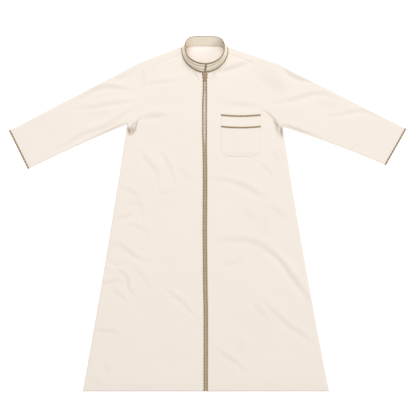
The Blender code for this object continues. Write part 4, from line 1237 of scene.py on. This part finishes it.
def pocket_edge(inset):
    """Plan points down the pocket's left edge, along its low edge and up its right one, inset from it."""
    left, right = POCKET_LEFT_X + inset, POCKET_RIGHT_X - inset
    low, high = POCKET_BOTTOM_Y + inset, POCKET_TOP_Y - STITCHES_END
    cut_in = POCKET_CUT_IN - inset * 0.4
    corners = [(left, high), (left, low + POCKET_CUT_UP), (left + cut_in, low),
               (right - cut_in, low), (right, low + POCKET_CUT_UP), (right, high)]
    return even_points(np.array(corners), POCKET_STITCH_STEPS)


# ---- braid
BRAID_ACROSS = (0.0, 0.0036, 0.0074)        # heights across the braid at which it is laid on the cloth
CUFF_ACROSS = (0.0, 0.0018, 0.0036, 0.0054, 0.0074)
COLLAR_ACROSS = (0.0, 0.0022, 0.0044, 0.0066)
TRIM_STRETCH = 1.13         # the braid lies flatter and wider on the fronts and cuffs
POCKET_STRETCH, RIM_STRETCH = 1.22, 1.27
UPPER_BRAID_Y, LOWER_BRAID_Y = 0.3950, 0.3490
RIM_OUTSIDE, RIM_INSIDE = 0.0048, 0.0022    # the rim's braid reaches this far down each side of the band
RIM_TURN_STEPS, RIM_FULL = 6, 1.2
SEAM_TRIM_TOP = 0.0070
BRAID_TAPE, BRAID_WALL = (0.0003, 0.0045), 0.0006
CORDS = ((0.0012, 0.42, "tan_thread"), (0.0028, -0.42, "olive_thread"))     # height across, slant, thread
CORD_TURNS = 4              # turns of each cord in one scallop
CORD_STRAND = (0.0040, 0.0017, 0.0011)
SATIN_STITCHES, SATIN_FOOT, SATIN_Z, SATIN_OVERLAP = 6, 0.0034, 0.0005, 0.0004
SATIN_TOPS = (0.0034, 0.0068)               # tops of the satin stitches between scallops and in their middle
SATIN_STRAND = (0.0023, 0.0009)
TRIM_FOOT, TRIM_TOP = 0.0006, 0.0011        # the fronts' braid ends this far inside the edge at each end
TRIM_OVERHANG = 0.0002
FRONT_TRIM_STEPS, POCKET_TRIM_STEPS, END_TRIM_STEPS = 420, 80, 12


def braid_repeat():
    """One scallop of the braid: two twisted cords on a tape, and satin stitches that swell and shrink."""
    pitch = sizes().braid_pitch
    low_y, high_y = BRAID_TAPE
    strands = [add_block((0.0, low_y, 0.0), (pitch, high_y, BRAID_WALL), "olive_thread")]
    for k in range(CORD_TURNS):
        x = pitch * (k + 0.5) / CORD_TURNS
        for y, slant, thread in CORDS:
            strands.append(add_strand((x, y, BRAID_WALL), *CORD_STRAND, slant, thread))
    for k in range(SATIN_STITCHES):
        share = (k + 0.5) / SATIN_STITCHES
        top = mix(*SATIN_TOPS, math.sin(math.pi * share))
        centre = (pitch * share, (SATIN_FOOT + top) / 2, SATIN_Z)
        strands.append(add_strand(centre, top - SATIN_FOOT + SATIN_OVERLAP, *SATIN_STRAND, math.pi / 2,
                                  "olive_thread"))
    return join("braid_repeat", strands)


def front_edge_strip(side):
    """The strip along a front's edge, from the hem to just under the collar."""
    y = np.linspace(HEM_Y + TRIM_FOOT, neck_corner_y(side) - TRIM_TOP, FRONT_TRIM_STEPS)

    def line(away):
        x = centre_x(y) + side.sign * (opening_half(y) + away - TRIM_OVERHANG)
        return points_of(x, y, front_height(side, x, y)[0])
    return strip_of(line, BRAID_ACROSS)


def cuff_strip(side, before, across):
    """A strip round the sleeve, this far before the cuff's edge."""
    def line(away):
        ring = sleeve_ring(side, before_cuff=before + away)[0]
        return np.vstack((ring, ring[:1]))
    return strip_of(line, across)


def pocket_strip(y_middle):
    x = np.linspace(POCKET_LEFT_X, POCKET_RIGHT_X, POCKET_TRIM_STEPS)

    def line(away):
        y = y_middle + POCKET_STRETCH * BRAID / 2 - away - sag(x)
        return points_of(x, y, pocket_height(x, y))
    return strip_of(line, BRAID_ACROSS)


def collar_end_strip(side):
    """The strip up one front end of the collar, from its edge inwards."""
    heights = np.linspace(SEAM_BRAID_FROM + COLLAR_BRAID, COLLAR_HEIGHT - COLLAR_BRAID, END_TRIM_STEPS)
    faces = [collar_face(height)[::-side.sign] for height in heights]

    def line(away):
        return np.array([[np.interp(away, travelled(face), part) for part in face.T] for face in faces])
    return strip_of(line, COLLAR_ACROSS[:3])


def collar_rim_strip():
    """The strip up the band's outer face, over its rim and a little down inside."""
    half = sizes().cloth_wall / 2
    turn = np.linspace(0, math.pi, RIM_TURN_STEPS + 1)
    path = np.vstack(([(-RIM_OUTSIDE, half), (-RIM_OUTSIDE / 2, half)],
                      points_of(RIM_FULL * half * np.sin(turn), half * np.cos(turn)), [(-RIM_INSIDE, -half)]))
    return strip_through([collar_face(COLLAR_HEIGHT + up, lift) for up, lift in path], travelled(path))


def build_braids():
    repeat = braid_repeat()
    # each trim, its node, its strip, whether the strip is turned, and how far the braid is widened
    rows = []
    for side in SIDES:
        name, outer = side.name, side.sign > 0
        cuff = cuff_strip(side, 0.0, CUFF_ACROSS)
        rows += [(f"trim_front_{name}", f"front_braid_{name}", front_edge_strip(side), outer, TRIM_STRETCH),
                 (f"trim_cuff_{name}", f"cuff_braid_{name}", cuff, outer, TRIM_STRETCH),
                 (f"trim_collar_end_{name}", f"collar_end_braid_{name}", collar_end_strip(side), outer,
                  END_BRAID / BRAID)]
    rows += [(f"trim_pocket_{name}", f"pocket_braid_{name}", pocket_strip(y), True, POCKET_STRETCH)
             for name, y in (("upper", UPPER_BRAID_Y), ("lower", LOWER_BRAID_Y))]
    seam_strip = strip_of(lambda away: collar_face(SEAM_TRIM_TOP - away), COLLAR_ACROSS)
    rows += [("trim_collar_rim", "collar_rim_braid", collar_rim_strip(), True, RIM_STRETCH),
             ("trim_collar_seam", "collar_seam_braid", seam_strip, False, 1.0)]
    for name, node, strip, turned, stretch in rows:
        trim = run_along(name, repeat, sizes().braid_pitch, strip, turned, stretch)
        if "collar" in name:
            trim.data.materials[trim.data.materials.find(OWN + "tan_thread")] = finish("cord_thread")
        dress(trim, [node])
    bpy.data.objects.remove(repeat)


# ---- zip
ZIP_TOP_Y = 0.5585
ZIP_FOOT = 0.002            # its tapes and coil start this far above the hem
ZIP_STEPS = 360
COIL_FOOT_Z, COIL_HALF = 0.0031, 0.0022
COIL_TURN, COIL_SLANT = (0.0030, 0.0011, 0.0015), 0.12
COIL_ASIDE, COIL_Z = 0.0009, 0.0009         # middle of a turn, from the zip's centre and from its foot
TAPE_INNER, TAPE_OUTER, TAPE_COLUMNS = 0.0020, 0.0145, 6
TAPE_WALL, TAPE_Z, TAPE_TOP = 0.0006, 0.0034, 0.001
ZIP_RISE = 0.0007           # the closed zip stands this much higher than in the slider
ZIP_RISE_BELOW, ZIP_RISE_WITHIN = 0.004, 0.02
HINGE = Vector(frame["joints"][0]["pos_m"])
SLIDER_LOW, SLIDER_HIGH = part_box("zip_slider")
TAB_LOW, TAB_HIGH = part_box("zip_pull")
SLIDER_PLATE, LOWER_PLATE = 0.0008, 0.0006
SLIDER_BEVEL, LOWER_BEVEL = 0.0003, 0.0002
LOWER_ASIDE, LOWER_ENDS = 0.0002, 0.0006    # the lower plate is this much smaller on each side and end
WEDGE_HALF, WEDGE_INSET, WEDGE_HEAD = 0.0015, 0.0003, 0.0008
FLANGE_HALF, FLANGE_ASIDE = 0.0004, 0.0006
FLANGE_Y, FLANGE_Z = (0.0052, 0.0004), (0.0017, 0.0002)     # its ends, from the slider's head and face
SLIDER_TOP_Z = HINGE.z - 0.0013
SLIDER_NARROWS = 0.26       # the slider's upper plate is this share narrower at its tail
SLIDER_HEAD = 0.004         # length of its head, which stays at full width
ARCH_RADIUS, ARCH_WIRE, ARCH_SINK = 0.00185, 0.00050, 0.0002
TAB_NECK = 0.75             # width of the tab's neck, as a share of its own
TAB_THICK, TAB_BEVEL = 0.0009, 0.00012
TAB_RIM, TAB_HOLE, TAB_EYELET = 0.0009, 0.0013, 0.0021
RIM_THICK, RIM_BEVEL, RIM_Z = 0.0004, 0.00010, 0.00055
SHOULDER_TOP, SHOULDER_FOOT = -0.006, -0.010       # ends of the tab's shoulders, from its hinge
RIM_TOPS = (-0.0045, -0.0055)               # tops of the rim's outer and inner outlines, from the hinge
WINDOW = ((0.0015, -0.0006), (0.0015, -0.0036), (-0.0015, -0.0036), (-0.0015, -0.0006))


def zip_line(away, z, top_y):
    """A line up the zip, this far to the side of its centre."""
    y = np.linspace(HEM_Y + ZIP_FOOT, top_y, ZIP_STEPS)
    rise = calm_height(y) - FACE_Z + ZIP_RISE * smooth((SLIDER_LOW.y - ZIP_RISE_BELOW - y) / ZIP_RISE_WITHIN)
    return points_of(centre_x(y) + away, y, z + rise)


def build_zip_tapes():
    for side in SIDES:
        top_y = neck_corner_y(side) - TAPE_TOP
        aways = side.sign * np.linspace(TAPE_INNER, TAPE_OUTER, TAPE_COLUMNS)
        points = np.stack([zip_line(away, TAPE_Z, top_y) for away in aways], axis=1)
        node = f"zip_tape_{side.name}"
        cloth_shell(f"robe_{node}", points, "zip_tape_cloth", "zip_tape", [node], wall=TAPE_WALL,
                    turned=side.sign < 0)


def build_zip_coil():
    """Two rows of coil turns that take turns across the middle."""
    pitch = sizes().coil_pitch
    turns = [add_strand((pitch * (0.5 + 0.25 * hand), COIL_HALF + COIL_ASIDE * hand, COIL_Z), *COIL_TURN,
                        math.pi / 2 - COIL_SLANT * hand, "zip_coil_plastic") for hand in (-1, 1)]
    repeat = join("coil_repeat", turns)
    strip = strip_of(lambda across: zip_line(across - COIL_HALF, COIL_FOOT_Z, ZIP_TOP_Y),
                     (0.0, COIL_HALF, 2 * COIL_HALF))
    dress(run_along("robe_zip_coil", repeat, pitch, strip, turned=True), ["zip_chain"])
    bpy.data.objects.remove(repeat)


def add_plate(x, half, y_range, z_range, bevel=SLIDER_BEVEL):
    """A plate of the slider with rounded edges."""
    plate = add_block((x - half, y_range[0], z_range[0]), (x + half, y_range[1], z_range[1]), "zip_metal")
    modifier = plate.modifiers.new("round", "BEVEL")
    modifier.width = bevel
    modifier.segments = 3
    apply_modifiers(plate)
    return plate


def finish_metal(name, parts, smooth_angle, node, body=BODY):
    """Joins the parts of a metal piece and smooths its faces up to an angle in degrees."""
    piece = join(name, parts)
    make_active(piece)
    bpy.ops.object.shade_smooth_by_angle(angle=math.radians(smooth_angle))
    dress(piece, [node], body)


def build_slider():
    """Two plates joined by a wedge at the neck end, flanges down each side and an arch for the tab."""
    x, top_z, low_z = HINGE.x, SLIDER_TOP_Z, SLIDER_LOW.z
    half = (SLIDER_HIGH.x - SLIDER_LOW.x) / 2
    low_y, high_y = SLIDER_LOW.y, SLIDER_HIGH.y
    upper = add_plate(x, half, (low_y, high_y), (top_z - SLIDER_PLATE, top_z))
    head_y = high_y - SLIDER_HEAD
    for vert in upper.data.vertices:
        tail = min(1.0, max(0.0, (head_y - vert.co.y) / (head_y - low_y)))
        vert.co.x = x + (vert.co.x - x) * (1 - SLIDER_NARROWS * tail)
    lower = add_plate(x, half - LOWER_ASIDE, (low_y + LOWER_ENDS, high_y - LOWER_ENDS),
                      (low_z, low_z + LOWER_PLATE), LOWER_BEVEL)
    wedge = add_plate(x, WEDGE_HALF, (ZIP_TOP_Y + WEDGE_INSET, high_y - WEDGE_HEAD),
                      (low_z + WEDGE_INSET, top_z - WEDGE_INSET))
    flanges = [add_plate(x + side.sign * (half - FLANGE_ASIDE), FLANGE_HALF,
                         [high_y - down for down in FLANGE_Y], [top_z - down for down in FLANGE_Z])
               for side in SIDES]
    bpy.ops.mesh.primitive_torus_add(
        location=(x, HINGE.y, HINGE.z - ARCH_SINK), rotation=(0.0, math.pi / 2, 0.0),
        major_radius=ARCH_RADIUS, minor_radius=ARCH_WIRE, major_segments=32, minor_segments=12)
    arch = bpy.context.object
    apply_transform()
    arch.data.materials.append(finish("zip_metal"))
    finish_metal("robe_zip_slider", [upper, lower, wedge, *flanges, arch], 40, "zip_slider")


def flat_ring(name, outlines, thickness, bevel, rise=0.0):
    """A flat piece from closed outlines, the first with the others cut out, with rounded edges."""
    curve = bpy.data.curves.new(name, "CURVE")
    curve.dimensions = "2D"
    curve.fill_mode = "BOTH"
    curve.extrude = thickness / 2 - bevel
    curve.bevel_depth = bevel
    curve.bevel_resolution = 2
    curve.offset = -bevel
    for outline in outlines:
        spline = curve.splines.new("POLY")
        spline.points.add(len(outline) - 1)
        for point, (px, py) in zip(spline.points, outline):
            point.co = (px, py, 0.0, 1.0)
        spline.use_cyclic_u = True
    thing = link_new(name, curve)
    thing.location = HINGE + Vector((0.0, 0.0, rise))
    make_active(thing)
    bpy.ops.object.convert(target="MESH")
    thing = bpy.context.object
    apply_transform()
    weld(thing, within=0.00001, outwards=True)
    thing.data.materials.clear()
    thing.data.materials.append(finish("zip_metal"))
    return thing


def arc(radius, cy, start, turn, steps):
    """Points of an arc round (0, cy), from the angle start by turn."""
    angles = [start + turn * k / steps for k in range(steps + 1)]
    return [(radius * math.cos(angle), cy + radius * math.sin(angle)) for angle in angles]


def circle(radius, cy):
    return arc(radius, cy, 0.0, 2 * math.pi, steps=24)[:-1]


def rounded_tab(half, neck_half, top_y, end_y):
    """The tab's outline: a narrow neck at the hinge, shoulders and a half-round end."""
    right = [(neck_half, top_y), (neck_half, SHOULDER_TOP), (half, SHOULDER_FOOT)]
    left = [(-x, y) for x, y in right]
    return left + arc(half, end_y, math.pi, math.pi, steps=20) + right[::-1]


def build_pull_tab():
    """The tab with its window for the arch, a raised rim round its face and a hole near its end."""
    half = (TAB_HIGH.x - TAB_LOW.x) / 2
    neck_half = half * TAB_NECK
    end_y = TAB_LOW.y - HINGE.y + half
    outline = rounded_tab(half, neck_half, TAB_HIGH.y - HINGE.y, end_y)
    hole = circle(TAB_HOLE, end_y)
    rim = [rounded_tab(half - inset, neck_half - inset, top_y, end_y)
           for inset, top_y in zip((0.0, TAB_RIM), RIM_TOPS)]
    parts = [flat_ring("tab_plate", [outline, WINDOW, hole], TAB_THICK, TAB_BEVEL),
             flat_ring("tab_rim", rim, RIM_THICK, RIM_BEVEL, RIM_Z),
             flat_ring("tab_eyelet", [circle(TAB_EYELET, end_y), hole], RIM_THICK, RIM_BEVEL, RIM_Z)]
    finish_metal("robe_zip_pull", parts, 35, "zip_pull", body="pull_tab")


# ---- stitching
STITCH, STITCH_Z = (0.0026, 0.00055, 0.00045), 0.00005      # length, width and height of one stitch
STITCH_ACROSS = (-0.0006, 0.0, 0.0006)
HEM_STITCH_STEPS = 200
LOW_WITHIN = 0.0002         # the pocket's inner row keeps to the points this near its low edge


def stitch_strip(x, y, height):
    """The strip for a row of stitches on the upper layer, through plan points x, y."""
    aside = leftwards(unit(points_of(np.gradient(x), np.gradient(y))))

    def line(away):
        px, py = x + aside[:, 0] * away, y + aside[:, 1] * away
        return points_of(px, py, height(px, py))
    return strip_of(line, STITCH_ACROSS)


def hem_stitches(side):
    y = HEM_Y + HEM_DEPTH
    outer = side_edge(side, HEM_DEPTH / (side.underarm[1] - HEM_Y))[0] - side.sign * STITCHES_END
    inner = centre_x(y) + side.sign * (ZIP_GAP + BRAID + STITCHES_START)
    x = np.linspace(min(inner, outer), max(inner, outer), HEM_STITCH_STEPS)
    return stitch_strip(x, np.full_like(x, y), lambda px, py: front_height(side, px, py)[0])


def build_stitches():
    pitch = sizes().stitch_pitch
    repeat = join("stitch_repeat", [add_strand((pitch / 2, 0.0, STITCH_Z), *STITCH, 0.0, "sewing_thread")])
    rows = []
    for side in SIDES:
        rows += [(f"stitch_hem_{side.name}", hem_stitches(side), False),
                 (f"stitch_cuff_{side.name}", cuff_strip(side, CUFF_HEM, STITCH_ACROSS), side.sign > 0)]
    outer, inner = (pocket_edge(inset) for inset in POCKET_STITCHES)
    along_low = inner[:, 1] < inner[:, 1].min() + LOW_WITHIN
    for name, edge in (("outer", outer), ("inner", inner[along_low])):
        rows.append((f"stitch_pocket_{name}", stitch_strip(*edge.T, pocket_height), False))
    for name, strip, turned in rows:
        dress(run_along(name, repeat, pitch, strip, turned))
    bpy.data.objects.remove(repeat)


# ---- sheets
# Flat cuts of the panels: the box round each cut, its area, what it rests on and the trims sewn to it.
Cut = namedtuple("Cut", "width length area rests_on trims")


# ---- stage
FIELD = 1.664               # width of the floor that the camera sees
LENS, SENSOR = 90.0, 36.0
VIEW_CENTRE = (0.001, 0.023)
FLOOR_SIZE, FLOOR_Z = 14.0, -0.0004
FLOOR_WHITE, FLOOR_GREY = (0.99, 0.99, 0.99), (0.975, 0.975, 0.975)
WORLD_STRENGTH = 0.520
# Area lights: place, aim, width, height, power and colour.
LIGHTS = {
    "key": ((-0.1, 5.7, 4.9), (0.0, 0.1, 0.0), 4.4, 3.0, 335.0, (1.0, 0.99, 0.975)),
    "overhead": ((0.0, -0.4, 5.2), (0.0, 0.0, 0.0), 4.0, 4.0, 30.0, (1.0, 1.0, 1.0)),
    "fill": ((6.0, -7.0, 5.0), (0.0, 0.3, 0.0), 3.0, 3.0, 250.0, (1.0, 1.0, 1.0)),
}


def floor_finish():
    look = Finish("floor", 0.9, Emission_Color=(1.0, 1.0, 1.0, 1.0), Emission_Strength=0.30)
    grain = look.noise(look.coordinates("Object"), 0.5)
    look.colour(look.blend(grain * 0.15, FLOOR_WHITE, FLOOR_GREY))
    return look.material


def add_area_light(name, place, aim, width, height, power, colour):
    light = bpy.data.lights.new(name, "AREA")
    light.shape = "RECTANGLE"
    light.size, light.size_y = width, height
    light.energy = power
    light.color = colour
    lamp = link_new(name, light)
    lamp.location = place
    lamp.rotation_euler = (Vector(aim) - Vector(place)).to_track_quat("-Z", "Y").to_euler()


def build_stage():
    bpy.ops.mesh.primitive_plane_add(size=FLOOR_SIZE, location=(0.0, 0.0, FLOOR_Z))
    floor = bpy.context.object
    floor.name = floor.data.name = "floor"
    apply_transform()
    floor.data.materials.append(floor_finish())
    for name, row in LIGHTS.items():
        add_area_light(name, *row)
    world = bpy.data.worlds.new("studio")
    world.use_nodes = True
    background = world.node_tree.nodes["Background"]
    background.inputs["Color"].default_value = (1.0, 1.0, 1.0, 1.0)
    background.inputs["Strength"].default_value = WORLD_STRENGTH
    bpy.context.scene.world = world
    data = bpy.data.cameras.new("camera")
    data.lens, data.sensor_width = LENS, SENSOR
    camera = link_new("camera", data)
    camera.location = (*VIEW_CENTRE, FACE_Z + FIELD * LENS / SENSOR)
    bpy.context.scene.camera = camera
    bpy.context.scene.view_settings.view_transform = "Standard"


# ---- operators
class ThobeBack(bpy.types.Operator):
    """Lay the back, with its cloth turned over the shoulders"""
    bl_idname = "thobe.back"
    bl_label = "Back"

    def execute(self, context):
        build_back()
        return {"FINISHED"}


class ThobeFronts(bpy.types.Operator):
    """Lay the two fronts"""
    bl_idname = "thobe.fronts"
    bl_label = "Fronts"

    def execute(self, context):
        for side in SIDES:
            build_front(side)
        return {"FINISHED"}


class ThobeSleeves(bpy.types.Operator):
    """Lay the two sleeves"""
    bl_idname = "thobe.sleeves"
    bl_label = "Sleeves"

    def execute(self, context):
        for side in SIDES:
            build_sleeve(side)
        return {"FINISHED"}


class ThobeCollar(bpy.types.Operator):
    """Raise the collar band"""
    bl_idname = "thobe.collar"
    bl_label = "Collar"

    def execute(self, context):
        build_collar()
        return {"FINISHED"}


class ThobePocket(bpy.types.Operator):
    """Lay the chest pocket"""
    bl_idname = "thobe.pocket"
    bl_label = "Pocket"

    def execute(self, context):
        build_pocket()
        return {"FINISHED"}


class ThobeBraids(bpy.types.Operator):
    """Sew the scalloped braid on the fronts, cuffs, collar and pocket"""
    bl_idname = "thobe.braids"
    bl_label = "Braids"

    def execute(self, context):
        build_braids()
        return {"FINISHED"}


class ThobeZip(bpy.types.Operator):
    """Set in the zip with its tapes, coil, slider and pull tab"""
    bl_idname = "thobe.zip"
    bl_label = "Zip"

    def execute(self, context):
        build_zip_tapes()
        build_zip_coil()
        build_slider()
        build_pull_tab()
        return {"FINISHED"}


class ThobeStitches(bpy.types.Operator):
    """Sew the visible rows of stitches"""
    bl_idname = "thobe.stitches"
    bl_label = "Stitches"

    def execute(self, context):
        build_stitches()
        return {"FINISHED"}


class ThobeSheets(bpy.types.Operator):
    bl_idname = "thobe.sheets"
    bl_label = "Sheets"

    def execute(self, context):
        return {"FINISHED"}


class ThobeStage(bpy.types.Operator):
    """Lay the floor and set the lights and the camera"""
    bl_idname = "thobe.stage"
    bl_label = "Stage"

    def execute(self, context):
        build_stage()
        return {"FINISHED"}


STEPS = (ThobeBack, ThobeFronts, ThobeSleeves, ThobeCollar, ThobePocket, ThobeBraids, ThobeZip, ThobeStitches,
         ThobeStage, ThobeSheets)


class ThobePanel(bpy.types.Panel):
    """Lists the robe's steps, sizes and colours"""
    bl_idname = "VIEW3D_PT_thobe"
    bl_label = "Thobe robe"
    bl_space_type = "VIEW_3D"
    bl_region_type = "UI"
    bl_category = "Thobe"

    def draw(self, context):
        for group in (context.scene.thobe_sizes, context.scene.thobe_colours):
            box = self.layout.box()
            for name in group.__annotations__:
                box.prop(group, name)
        for step in STEPS:
            self.layout.operator(step.bl_idname)


CLASSES = (ThobeSizes, ThobeColours, *STEPS, ThobePanel)


def register():
    for made in CLASSES:
        bpy.utils.register_class(made)
    bpy.types.Scene.thobe_sizes = bpy.props.PointerProperty(type=ThobeSizes)
    bpy.types.Scene.thobe_colours = bpy.props.PointerProperty(type=ThobeColours)


def unregister():
    del bpy.types.Scene.thobe_colours
    del bpy.types.Scene.thobe_sizes
    for made in reversed(CLASSES):
        bpy.utils.unregister_class(made)


def main():
    register()
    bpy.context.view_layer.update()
    for step in STEPS:
        group, name = step.bl_idname.split(".")
        getattr(getattr(bpy.ops, group), name)()


if __name__ == "__main__":
    main()
